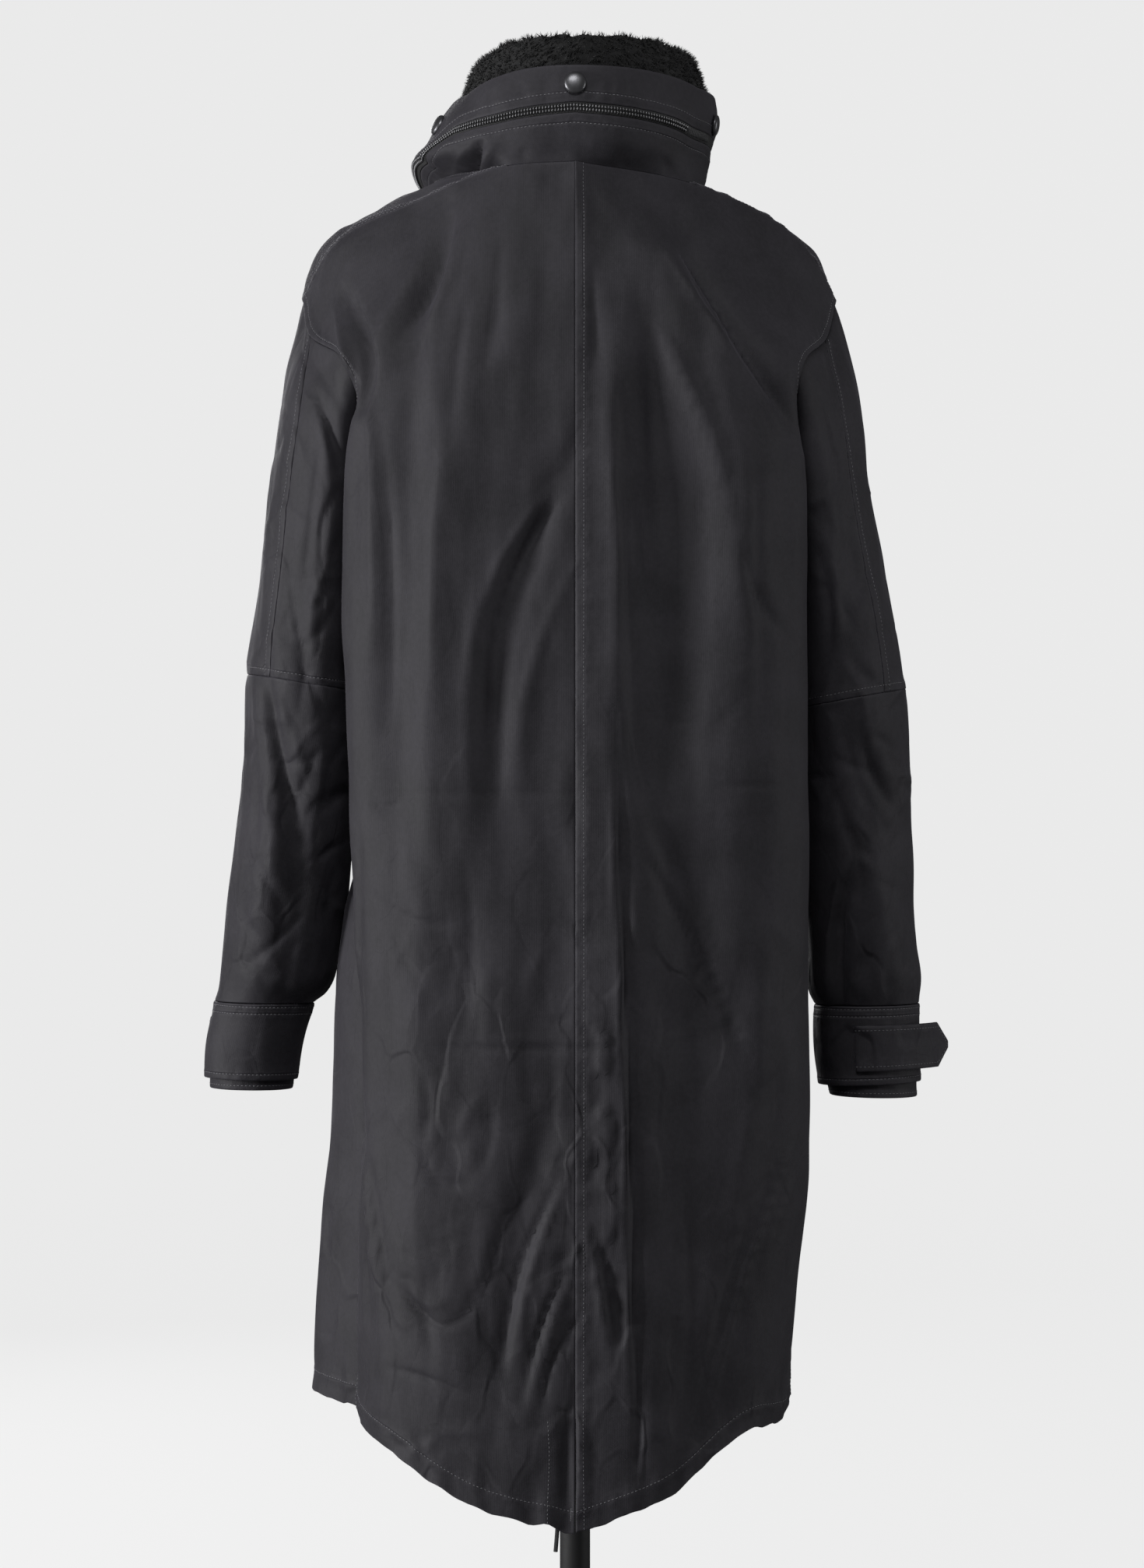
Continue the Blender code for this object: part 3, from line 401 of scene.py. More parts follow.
def section_keys(side):
    """Key sections from hem to underarm for the back, centre outwards, and the front, side seam inwards."""
    backs, fronts = [], []
    base = SECTIONS[0][1]
    for name, z, share, back_y, front_y in SECTIONS:
        s = dict(zip(SIDE_COLUMNS, SIDE_SECTIONS[side][name]))
        hems = {face: [z + share * (h - base) for h in row] for face, row in HEM_HEIGHTS[side].items()}
        blade_y = BLADE_SHARE * back_y + (1 - BLADE_SHARE) * s["edge_y"]
        back = (
            (0, back_y),
            (BACK_QUARTER * s["edge_x"], back_y + BACK_QUARTER_IN),
            (BACK_BLADE * s["edge_x"], blade_y),
            (s["edge_x"], s["edge_y"]),
            (s["seam_x"], s["seam_y"]),
        )
        front = (
            (s["seam_x"], s["seam_y"]),
            (s["swell_x"], s["swell_y"]),
            (s["corner_x"], s["corner_y"]),
            (FRONT_QUARTER * s["corner_x"], front_y - FRONT_QUARTER_IN),
            (0, front_y),
        )
        backs.append([(*xy, top) for xy, top in zip(back, hems["back"])])
        fronts.append([(*xy, top) for xy, top in zip(front, hems["front"])])
    backs += [shoulder_set(side, row) for row in BACK_UPPER]
    fronts += [shoulder_set(side, row) for row in FRONT_UPPER]
    backs.append(SHOULDER_SEAM[side])
    flip = np.array([SIDES[side], 1, 1])
    return np.array(backs, float) * flip, np.array(fronts, float) * flip


def shoulder_set(side, row):
    """A section above the underarm. From the shoulder blade up the right one is nearer the neck and lower."""
    name, *points = row
    if side == "right" and name in ("upper_blade", "collarbone", "shoulder", "ridge"):
        return [
            (x - min(RIGHT_SHOULDER_IN_MOST, x * RIGHT_SHOULDER_IN), y, z - x * RIGHT_SHOULDER_DOWN)
            for x, y, z in points
        ]
    return points


def shoulder_shares(shares):
    """Shares across the back, at the shoulder seam, of shares across the front."""
    neck = BACK_RAILS[1]
    return neck + (1 - neck) * (1 - np.asarray(shares))


def back_points(side, shares, places):
    """Points of the back's outer face at shares across and places up, with the main creases."""
    keys, _ = section_keys(side)
    lines = through(keys.transpose(1, 0, 2), places_on(BACK_RAILS, shares)).transpose(1, 0, 2)
    return creased(through(lines, places), BODY_FOLDS)


def front_points(side, shares, places):
    """Points of the front's outer face. Its last key section is the shoulder seam."""
    backs, keys = section_keys(side)
    lines = through(keys.transpose(1, 0, 2), places_on(FRONT_RAILS, shares)).transpose(1, 0, 2)
    seam = through(backs[-1][:, None], places_on(BACK_RAILS, shoulder_shares(shares)))[:, 0]
    points = creased(through(np.concatenate([lines, seam[None]]), places), BODY_FOLDS)
    middle = np.isclose(shares, 1)
    points[np.ix_(np.asarray(places) <= NECK_KEY, middle, [0])] = 0
    return points


# Pieces of cloth

NEAR_EDGE = (0.3, 0.8, 1.5, 2.4)
EDGE_TURN = 1.7  # how far from its edge a piece of cloth starts to turn in
EDGE_DROP = 0.75
ALLOWANCE_RISE = 0.28  # how far the folded allowance lifts the cloth between an edge and its stitches
ALLOWANCE_FADE = 2.5
PUCKER_SIZE = 7.0
PUCKER_RISE = 0.5
PUCKER_REACH = 10.0
RUMPLES = (((30.0, 30.0, 150.0), 1.7), ((11.0, 11.0, 46.0), 0.5), ((70.0, 70.0, 60.0), 1.2))
FAR = 30.0
STITCH_PITCH = 3.3
STITCH_SIZE = (2.7, 0.62, 0.55)
STITCHES = []


class Cloth:
    """A piece of cloth as a grid of points on its outer face, by (row, column, xyz), in millimetres. Its
    edges are first and last, where rows start and end, and bottom and top, its end rows."""

    def __init__(self, name, points, sign=1, ring=False):
        self.name, self.points, self.ring, self.sign = name, points, ring, sign
        self.measure()

    def measure(self):
        """Works out the way out and the distance from each edge, at each point."""
        points = self.points
        if self.ring:
            ahead, behind = np.roll(points, -1, axis=1), np.roll(points, 1, axis=1)
        else:
            padded = np.concatenate([points[:, :1], points, points[:, -1:]], axis=1)
            ahead, behind = padded[:, 2:], padded[:, :-2]
        padded = np.concatenate([points[:1], points, points[-1:]])
        self.out = unit(np.cross(ahead - behind, padded[2:] - padded[:-2])) * self.sign
        rows = np.cumsum(np.linalg.norm(np.diff(points, axis=1, prepend=points[:, :1]), axis=-1), axis=1)
        ups = np.cumsum(np.linalg.norm(np.diff(points, axis=0, prepend=points[:1]), axis=-1), axis=0)
        self.edges = {"bottom": ups, "top": ups[-1:] - ups}
        if not self.ring:
            self.edges |= {"first": rows, "last": rows[:, -1:] - rows}
        self.across, self.up = rows, ups

    def raise_by(self, rise):
        self.points = self.points + self.out * rise[..., None]

    def widths(self):
        """How wide each row is, in millimetres."""
        last = self.across[:, -1]
        if self.ring:
            last = last + np.linalg.norm(self.points[:, 0] - self.points[:, -1], axis=-1)
        return last

    def size(self):
        """Greatest width and length as cut, in metres."""
        return float(self.widths().max()) * MM, float(self.up[-1].max()) * MM

    def area(self):
        """Area as cut, in square metres."""
        steps = np.diff(self.up, axis=0).mean(axis=1)
        widths = self.widths()
        return float((steps * (widths[1:] + widths[:-1]) / 2).sum()) * MM**2

    def line(self, edge, offset, low=-1e9, high=1e9):
        """Points and ways out along a line at an offset from an edge, between two heights."""
        distance, points, out = self.edges[edge], self.points, self.out
        if edge in ("first", "last"):
            distance, points, out = distance.T, points.transpose(1, 0, 2), out.transpose(1, 0, 2)
        if edge in ("last", "top"):
            distance, points, out = distance[::-1], points[::-1], out[::-1]
        above = np.clip((distance < offset).sum(axis=0), 1, len(distance) - 1)
        near, far = (np.take_along_axis(distance, (above - k)[None], axis=0)[0] for k in (1, 0))
        f = np.clip((offset - near) / np.maximum(far - near, 1e-9), 0, 1)[:, None]
        path, ways = (
            np.take_along_axis(grid, (above - 1)[None, :, None], axis=0)[0] * (1 - f)
            + np.take_along_axis(grid, above[None, :, None], axis=0)[0] * f
            for grid in (points, out)
        )
        if self.ring:
            path, ways = np.concatenate([path, path[:1]]), np.concatenate([ways, ways[:1]])
        keep = (path[:, 2] >= low) & (path[:, 2] <= high)
        return path[keep], ways[keep]


# Node trees


class Graph:
    """Adds nodes to a tree. Inputs are given by name or number, as values, sockets or fields."""

    def __init__(self, tree):
        self.tree = tree

    def add(self, kind, inputs=None, **settings):
        node = self.tree.nodes.new(kind)
        for key, value in settings.items():
            setattr(node, key, value)
        for key, value in (inputs or {}).items():
            self.feed(node.inputs[key], value)
        return node

    def feed(self, socket, value):
        value = value.socket if isinstance(value, Field) else value
        if isinstance(value, bpy.types.NodeSocket):
            self.tree.links.new(value, socket)
        else:
            socket.default_value = value

    def field(self, kind, inputs=None, output=0, **settings):
        return Field(self, self.add(kind, inputs, **settings).outputs[output])

    def vector(self, operation, first, second, output=0):
        """The result of a sum on two vectors."""
        return self.add("ShaderNodeVectorMath", {0: first, 1: second}, operation=operation).outputs[output]

    def attribute(self, name):
        """A number stored on the surface's points."""
        return self.field("ShaderNodeAttribute", attribute_name=name, output="Fac")

    def ramp(self, value, low, high):
        """0 where the value is at most low, 1 where it is at least high, smooth in between."""
        inputs = {"Value": value, "From Min": low, "From Max": high}
        return self.field("ShaderNodeMapRange", inputs, interpolation_type="SMOOTHSTEP")

    def mix(self, share, low, high):
        """A colour between two others."""
        node = self.add("ShaderNodeMix", data_type="RGBA")
        for name, value in (("Factor", share), ("A", (*low, 1)), ("B", (*high, 1))):
            self.feed([socket for socket in node.inputs if socket.name == name and socket.enabled][0], value)
        return [socket for socket in node.outputs if socket.enabled][0]


class Field:
    """A number that varies over a surface, with Python's operators."""

    def __init__(self, graph, socket):
        self.graph, self.socket = graph, socket

    def math(self, operation, other=None, swap=False):
        pair = (other, self) if swap else (self, other)
        inputs = {i: value for i, value in enumerate(pair) if value is not None}
        return self.graph.field("ShaderNodeMath", inputs, operation=operation)

    def __add__(self, other):
        return self.math("ADD", other)

    def __sub__(self, other):
        return self.math("SUBTRACT", other)

    def __rsub__(self, other):
        return self.math("SUBTRACT", other, swap=True)

    def __mul__(self, other):
        return self.math("MULTIPLY", other)

    __radd__, __rmul__ = __add__, __mul__


def new_look(name, **inputs):
    """A Principled material, its graph and its shader. Inputs are values that are the same all over it."""
    look = bpy.data.materials.new(name)
    look.use_nodes = True
    graph = Graph(look.node_tree)
    shader = look.node_tree.nodes["Principled BSDF"]
    for key, value in inputs.items():
        shader.inputs[key.replace("_", " ")].default_value = value
    return look, graph, shader


def coordinates(graph, scale, source="Object"):
    """Object or UV coordinates, in metres, stretched by a scale along each axis."""
    place = graph.add("ShaderNodeTexCoord").outputs[source]
    return graph.add("ShaderNodeMapping", {"Vector": place, "Scale": scale}).outputs["Vector"]


def grain(graph, size, detail=3.0, rough=0.55, stretch=(1, 1, 1)):
    """Smooth noise with spots of about the given size in metres."""
    scale = [s / size for s in stretch]
    vector = coordinates(graph, scale)
    inputs = {"Vector": vector, "Scale": 1.0, "Detail": detail, "Roughness": rough}
    return graph.field("ShaderNodeTexNoise", inputs)


def facets(graph, size, stretch, soft):
    """Flat facets of about the given size in metres, tilted at random, with soft or sharp folds between."""
    vector = coordinates(graph, [s / size for s in stretch])
    bend = graph.add("ShaderNodeTexNoise", {"Vector": vector, "Scale": 0.7, "Detail": 2.0}).outputs["Color"]
    place = graph.vector("ADD", vector, graph.vector("MULTIPLY", bend, (1.1, 1.1, 1.1)))
    inputs = {"Vector": place, "Scale": 1.0}
    if soft:
        inputs["Smoothness"] = 0.3
    cells = graph.add("ShaderNodeTexVoronoi", inputs, feature="SMOOTH_F1" if soft else "F1").outputs
    away = graph.vector("SUBTRACT", place, cells["Position"])
    tilt = graph.vector("SUBTRACT", cells["Color"], (0.5, 0.5, 0.5))
    return Field(graph, graph.vector("DOT_PRODUCT", away, tilt, "Value"))


def threads(graph, pitch, axis):
    """Rows of threads across one axis of the UV map, as heights from 0 to 1."""
    vector = coordinates(graph, (1 / pitch, 1 / pitch, 1), "UV")
    along = graph.add("ShaderNodeSeparateXYZ", {"Vector": vector}).outputs[axis]
    return Field(graph, along).math("MULTIPLY", 2 * pi).math("SINE") * 0.5 + 0.5


def relief(graph, shader, layers):
    """Feeds the shader's normal with heights, each a field and how far it stands out in metres."""
    normal = None
    for height, distance in layers:
        inputs = {"Height": height, "Distance": distance, "Strength": 1.0}
        if normal:
            inputs["Normal"] = normal
        normal = graph.add("ShaderNodeBump", inputs).outputs["Normal"]
    graph.feed(shader.inputs["Normal"], normal)


def shell_cloth():
    """Dense coated cotton: charcoal, softly mottled, paler where it is worn along folded edges."""
    sheen = {"Sheen_Weight": 0.08, "Sheen_Roughness": 0.4, "Sheen_Tint": (0.82, 0.78, 0.92, 1)}
    look, graph, shader = new_look("coated_cotton", Specular_IOR_Level=0.30, **sheen)
    blotch = grain(graph, 0.055, 4.0)
    speck = grain(graph, 0.0035, 2.0)
    line = graph.attribute("stitch_line")
    worn = (1 - graph.ramp(graph.attribute("edge"), 0.4, 3.2)) + (1 - graph.ramp(line, 0.5, 4.0)) * 0.6
    tone = graph.ramp(blotch, 0.30, 0.72) * 0.55 + graph.ramp(speck, 0.25, 0.80) * 0.30 + worn * 0.35
    colour = graph.mix(tone, (0.0226, 0.0214, 0.0256), (0.0428, 0.0404, 0.0482))
    graph.feed(shader.inputs["Base Color"], colour)
    graph.feed(shader.inputs["Roughness"], 0.60 + blotch * 0.14 - worn * 0.05)
    groove = 1 - graph.ramp(line, 0.2, 1.5)
    pull = (1 - graph.ramp(line, 1.0, 9.0)) * grain(graph, 0.007, 1.0)
    weave = threads(graph, 0.0009, "X") * threads(graph, 0.0009, "Y")
    slub = threads(graph, 0.0018, "X") * grain(graph, 0.004, 1.0, stretch=(1, 1, 0.25))
    place = graph.add("ShaderNodeTexCoord").outputs["Object"]
    height, aside = (graph.field("ShaderNodeSeparateXYZ", {"Vector": place}, axis) for axis in "ZX")
    sleeves = graph.ramp(aside.math("ABSOLUTE"), 0.19, 0.21)
    patches = graph.ramp(grain(graph, 0.15, 1.0), 0.30, 0.66)
    creased_share = (1 - graph.ramp(height, 0.74, 1.02)) * 0.75 + 0.25 + sleeves * 0.7
    layers = (
        (facets(graph, 0.034, (1, 1, 0.6), True) * creased_share * patches, 0.0028),
        (facets(graph, 0.024, (1, 1, 0.5), False) * creased_share, 0.0016),
        (grain(graph, 0.016, 3.0, 0.5, (1, 1, 0.3)), 0.0004),
        (pull, 0.0008),
        (groove, -0.0005),
        (slub, 0.00005),
        (weave, 0.00005),
    )
    relief(graph, shader, layers)
    return look


def plain_cloth(name, colour, paler, roughness, pitch):
    """A plain woven cloth: form cover, zip tape or cord."""
    look, graph, shader = new_look(name, Sheen_Weight=0.15, Sheen_Roughness=0.5)
    weave = threads(graph, pitch, "X") * threads(graph, pitch, "Y")
    blotch = grain(graph, 0.02, 3.0)
    graph.feed(shader.inputs["Base Color"], graph.mix(blotch * 0.5 + weave * 0.5, colour, paler))
    graph.feed(shader.inputs["Roughness"], roughness + blotch * 0.1)
    relief(graph, shader, ((weave, pitch * 0.25),))
    return look


def pile_fibre():
    """Matt black curls, a little browner and paler at random from lock to lock."""
    look, graph, shader = new_look("pile_fibre", Sheen_Weight=0.05, Sheen_Roughness=0.6)
    lock = grain(graph, 0.006, 2.0)
    colour = graph.mix(lock, (0.0030, 0.0030, 0.0034), (0.0095, 0.0096, 0.0104))
    graph.feed(shader.inputs["Base Color"], colour)
    graph.feed(shader.inputs["Roughness"], 0.80 + lock * 0.15)
    relief(graph, shader, ((grain(graph, 0.0012, 1.0), 0.0006),))
    return look


def mottled(name, mask, colour, paler, roughness, rougher, depth, **inputs):
    """A material mottled by a mask that a function makes in its graph: paler, rougher and raised at 1."""
    look, graph, shader = new_look(name, **inputs)
    share = mask(graph)
    graph.feed(shader.inputs["Base Color"], graph.mix(share, colour, paler))
    graph.feed(shader.inputs["Roughness"], roughness + share * rougher)
    relief(graph, shader, ((share, depth),))
    return look


def thread_look():
    """Sewing thread, a shade paler than the cloth, twisted."""
    colours = (0.120, 0.118, 0.129), (0.225, 0.222, 0.242)
    return mottled("sewing_thread", lambda graph: grain(graph, 0.0006, 1.0), *colours, 0.55, 0.2, 0.0001,
                   Sheen_Weight=0.2)


def hard_look(name, colour, paler, roughness, metallic, coat=0.0):
    """Moulded or painted pieces, with faint handling marks."""
    return mottled(name, lambda graph: grain(graph, 0.004, 4.0, 0.6), colour, paler, roughness, 0.14, 0.00004,
                   Metallic=metallic, Coat_Weight=coat)


# Making pieces


def add_piece(name, points, faces, look, replaces=(), uv=None, marks=None):
    """A piece of the coat or its stand from points in millimetres, riding on the part's one body."""
    mesh = bpy.data.meshes.new(name)
    mesh.from_pydata((np.asarray(points, float).reshape(-1, 3) * MM).tolist(), [], faces)
    mesh.shade_smooth()
    if uv is not None:
        mesh.uv_layers.new(name="UVMap").data.foreach_set("uv", np.asarray(uv, np.float32).ravel())
    for key, values in (marks or {}).items():
        mark(mesh, key, "FLOAT", "value", values)
    mesh.materials.append(look)
    return placed(link(bpy.data.objects.new(name, mesh)), replaces)


def mark(mesh, key, kind, field, values):
    """Stores a value at each point of a mesh."""
    mesh.attributes.new(key, kind, "POINT").data.foreach_set(field, values.astype(np.float32).ravel())


def placed(made, replaces=()):
    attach(made, "root")
    if replaces:
        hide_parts(*replaces)
    return made


def grid_quads(rows, columns, ring):
    """Faces of a grid of points, as rows of four corners, and the grid place of each corner for its UV."""
    r, c = np.meshgrid(np.arange(rows - 1), np.arange(columns if ring else columns - 1), indexing="ij")
    r, c = r.ravel(), c.ravel()
    n = (c + 1) % columns
    this, next_row = r * columns, (r + 1) * columns
    corners = np.stack([this + c, this + n, next_row + n, next_row + c], axis=1)
    places = np.stack([(r, c), (r, c + 1), (r + 1, c + 1), (r + 1, c)], axis=1).transpose(2, 1, 0)
    return corners, places


def rim_quads(rows, columns, ring, under):
    """Faces round the edge of a thin shell, between the outer points and the inner ones."""
    grid = np.arange(rows * columns).reshape(rows, columns)
    wrap = np.concatenate([grid, grid[:, :1]], axis=1) if ring else grid
    strips = [wrap[0][::-1], wrap[-1]]
    if not ring:
        strips += [grid[:, 0], grid[::-1, -1]]
    faces = []
    for strip in strips:
        a, b = strip[:-1], strip[1:]
        faces.append(np.stack([a, b, b + under, a + under], axis=1))
    return np.concatenate(faces)


def shell(cloth, outer, wall):
    """Points, faces and UV of a closed shell from a cloth's outer points to a wall's thickness under them."""
    rows, columns = outer.shape[:2]
    quads, places = grid_quads(rows, columns, cloth.ring)
    rim = rim_quads(rows, columns, cloth.ring, rows * columns)
    faces = np.concatenate([quads, quads[:, ::-1] + rows * columns, rim])
    uv = cloth_uv(cloth, places, len(rim))
    if cloth.sign < 0:
        faces, uv = faces[:, ::-1], uv[:, ::-1]
    inner = outer - cloth.out * wall
    return np.concatenate([outer.reshape(-1, 3), inner.reshape(-1, 3)]), faces.tolist(), uv


def build_cloth(cloth, wall, look, stitches=(), calm=1.0):
    """A thin closed shell of cloth that replaces the node it is named after: its edges turned in, the
    allowance raised beside each row of stitches, soft puckers across it and a slightly rumpled face. stitches
    names rows as (edge, offset), and calm is how much of the rumpling it has."""
    edges = np.min(list(cloth.edges.values()), axis=0)
    turned = np.clip(1 - edges / EDGE_TURN, 0, 1)
    rise = -EDGE_DROP * (1 - np.sqrt(1 - turned**2))
    stitch_line = np.full(edges.shape, FAR)
    for edge, offset, *_ in stitches:
        distance = cloth.edges[edge]
        past = np.clip((distance - offset) / ALLOWANCE_FADE, 0, 1)
        rise += ALLOWANCE_RISE * (1 - past * past * (3 - 2 * past))
        near = np.exp(-(((distance - offset) / PUCKER_REACH) ** 2))
        rise += calm * PUCKER_RISE * near * ripples(cloth, edge, PUCKER_SIZE)
        stitch_line = np.minimum(stitch_line, np.abs(distance - offset))
    for size, height in RUMPLES:
        rise += calm * height * rumple(cloth.points / size) * np.clip(edges / 10, 0, 1)
    cloth.raise_by(rise)
    for edge in cloth.edges:
        pull_back(cloth, edge, SEAM_GAP / 2)
    points, faces, uv = shell(cloth, cloth.points, wall)
    marks = {"edge": np.tile(edges.ravel(), 2), "stitch_line": np.tile(stitch_line.ravel(), 2)}
    made = add_piece(cloth.name + "_cloth", points, faces, look, [cloth.name], uv, marks)
    width, length = cloth.size()
    area = min(cloth.area(), width * length)
    for edge, offset, *span in stitches:
        STITCHES.append(resampled(*cloth.line(edge, offset, *span), STITCH_PITCH))
    return made


def cloth_uv(cloth, places, rims):
    """UV in metres: across and up the cloth, on both faces. Rim faces take none."""
    across, up = cloth.across, cloth.up
    if cloth.ring:
        across = np.concatenate([across, cloth.widths()[:, None]], axis=1)
        up = np.concatenate([up, up[:, :1]], axis=1)
    r, c = places[..., 0], places[..., 1]
    outer = np.stack([across[r, c], up[r, c]], axis=-1) * MM
    return np.concatenate([outer, outer[:, ::-1], np.zeros((rims, 4, 2))])


def pull_back(cloth, edge, gap):
    """Moves an edge's points back along the cloth, to leave a gap at the seam."""
    at, beside = (0, 1) if edge in ("first", "bottom") else (-1, -2)
    if edge in ("first", "last"):
        at, beside = (slice(None), at), (slice(None), beside)
    cloth.points[at] += unit(cloth.points[beside] - cloth.points[at]) * gap


def rumple(places):
    """Smooth noise, from about -1 to 1, at places a lump's size apart."""
    flat = places.reshape(-1, 3)
    values = np.fromiter((noise.noise(Vector(p)) for p in flat), float, len(flat))
    return values.reshape(places.shape[:-1]) * 1.6


def ripples(cloth, edge, size):
    """Noise that changes along an edge, and little away from it."""
    along = cloth.up if edge in ("first", "last") else cloth.across
    own = np.full(along.shape, len(cloth.name) + (3.7 if cloth.sign > 0 else 0))
    return rumple(np.stack([along / size, cloth.edges[edge] / (4 * size), own], axis=-1))


def resampled(path, ways, pitch):
    """Places a pitch apart along a path, the direction along it and the way out at each."""
    lengths = np.concatenate([[0], np.cumsum(np.linalg.norm(np.diff(path, axis=0), axis=1))])
    at = np.arange(pitch / 2, lengths[-1], pitch)

    def read(values):
        return np.stack([np.interp(at, lengths, values[:, k]) for k in range(3)], axis=1)

    centres = read(path)
    steps = np.gradient(path, axis=0)
    return centres, unit(read(steps)), unit(read(ways))


def bead_shape(sides, rings):
    """Builds a rounded bead of the tree's length, width and height."""

    def build(graph, source):
        ball = graph.add("GeometryNodeMeshUVSphere", {"Segments": sides, "Rings": rings, "Radius": 0.5})
        sizes = {axis: source[name] for axis, name in zip("XYZ", ("Length", "Width", "Height"))}
        scale = graph.add("ShaderNodeCombineXYZ", sizes)
        inputs = {"Geometry": ball.outputs["Mesh"], "Scale": scale.outputs[0]}
        return graph.add("GeometryNodeTransform", inputs).outputs[0]

    return build


def repeat_along(name, places, size, look, slot, shape=bead_shape(5, 3)):
    """One small shape at every place, turned along the path and out of the cloth, as one mesh. The places are
    points, directions along and ways out, and size is length, width and height in millimetres."""
    points, along, out = (np.concatenate(part) for part in zip(*places))
    mesh = bpy.data.meshes.new(name)
    mesh.from_pydata((points * MM).tolist(), [], [])
    for key, values in (("along", along), ("out", out)):
        mark(mesh, key, "FLOAT_VECTOR", "vector", values)
    made = bpy.data.objects.new(name, mesh)
    COAT.objects.link(made)
    sizes = {key: value * MM for key, value in zip(("Length", "Width", "Height"), size)}
    tree, graph, source, sink = new_geometry_tree(name, sizes)
    one = shape(graph, source)
    turn = None
    for key, axis in (("along", "X"), ("out", "Z")):
        vector = graph.add("GeometryNodeInputNamedAttribute", {"Name": key}, data_type="FLOAT_VECTOR")
        inputs = {"Vector": [s for s in vector.outputs if s.enabled][0]}
        if turn:
            inputs["Rotation"] = turn
        pivot = "X" if key == "out" else "AUTO"
        turn = graph.add("FunctionNodeAlignRotationToVector", inputs, axis=axis, pivot_axis=pivot).outputs[0]
    inputs = {"Points": source["Geometry"], "Instance": one, "Rotation": turn}
    many = graph.add("GeometryNodeInstanceOnPoints", inputs)
    finish_tree(graph, many.outputs[0], look, sink)
    realise(made, tree)
    made.data.materials.clear()
    made.data.materials.append(look)
    return placed(made)


def new_geometry_tree(name, sizes):
    """A geometry tree with a geometry input and named size inputs, its graph, its sources and its sink."""
    tree = bpy.data.node_groups.new(name, "GeometryNodeTree")
    tree.interface.new_socket("Geometry", in_out="INPUT", socket_type="NodeSocketGeometry")
    for key, value in sizes.items():
        tree.interface.new_socket(key, in_out="INPUT", socket_type="NodeSocketFloat").default_value = value
    tree.interface.new_socket("Geometry", in_out="OUTPUT", socket_type="NodeSocketGeometry")
    graph = Graph(tree)
    source = graph.add("NodeGroupInput").outputs
    sink = graph.add("NodeGroupOutput").inputs["Geometry"]
    return tree, graph, source, sink


def finish_tree(graph, geometry, look, sink):
    whole = graph.add("GeometryNodeRealizeInstances", {"Geometry": geometry})
    painted = graph.add("GeometryNodeSetMaterial", {"Geometry": whole.outputs[0], "Material": look})
    graph.feed(sink, painted.outputs[0])


def realise(made, tree):
    """Gives an object the plain mesh that a geometry tree makes of it."""
    modifier = made.modifiers.new("maker", "NODES")
    modifier.node_group = tree
    depsgraph = bpy.context.evaluated_depsgraph_get()
    mesh = bpy.data.meshes.new_from_object(made.evaluated_get(depsgraph), depsgraph=depsgraph)
    made.modifiers.clear()
    made.data = mesh
    mesh.shade_smooth()


# Body and fly

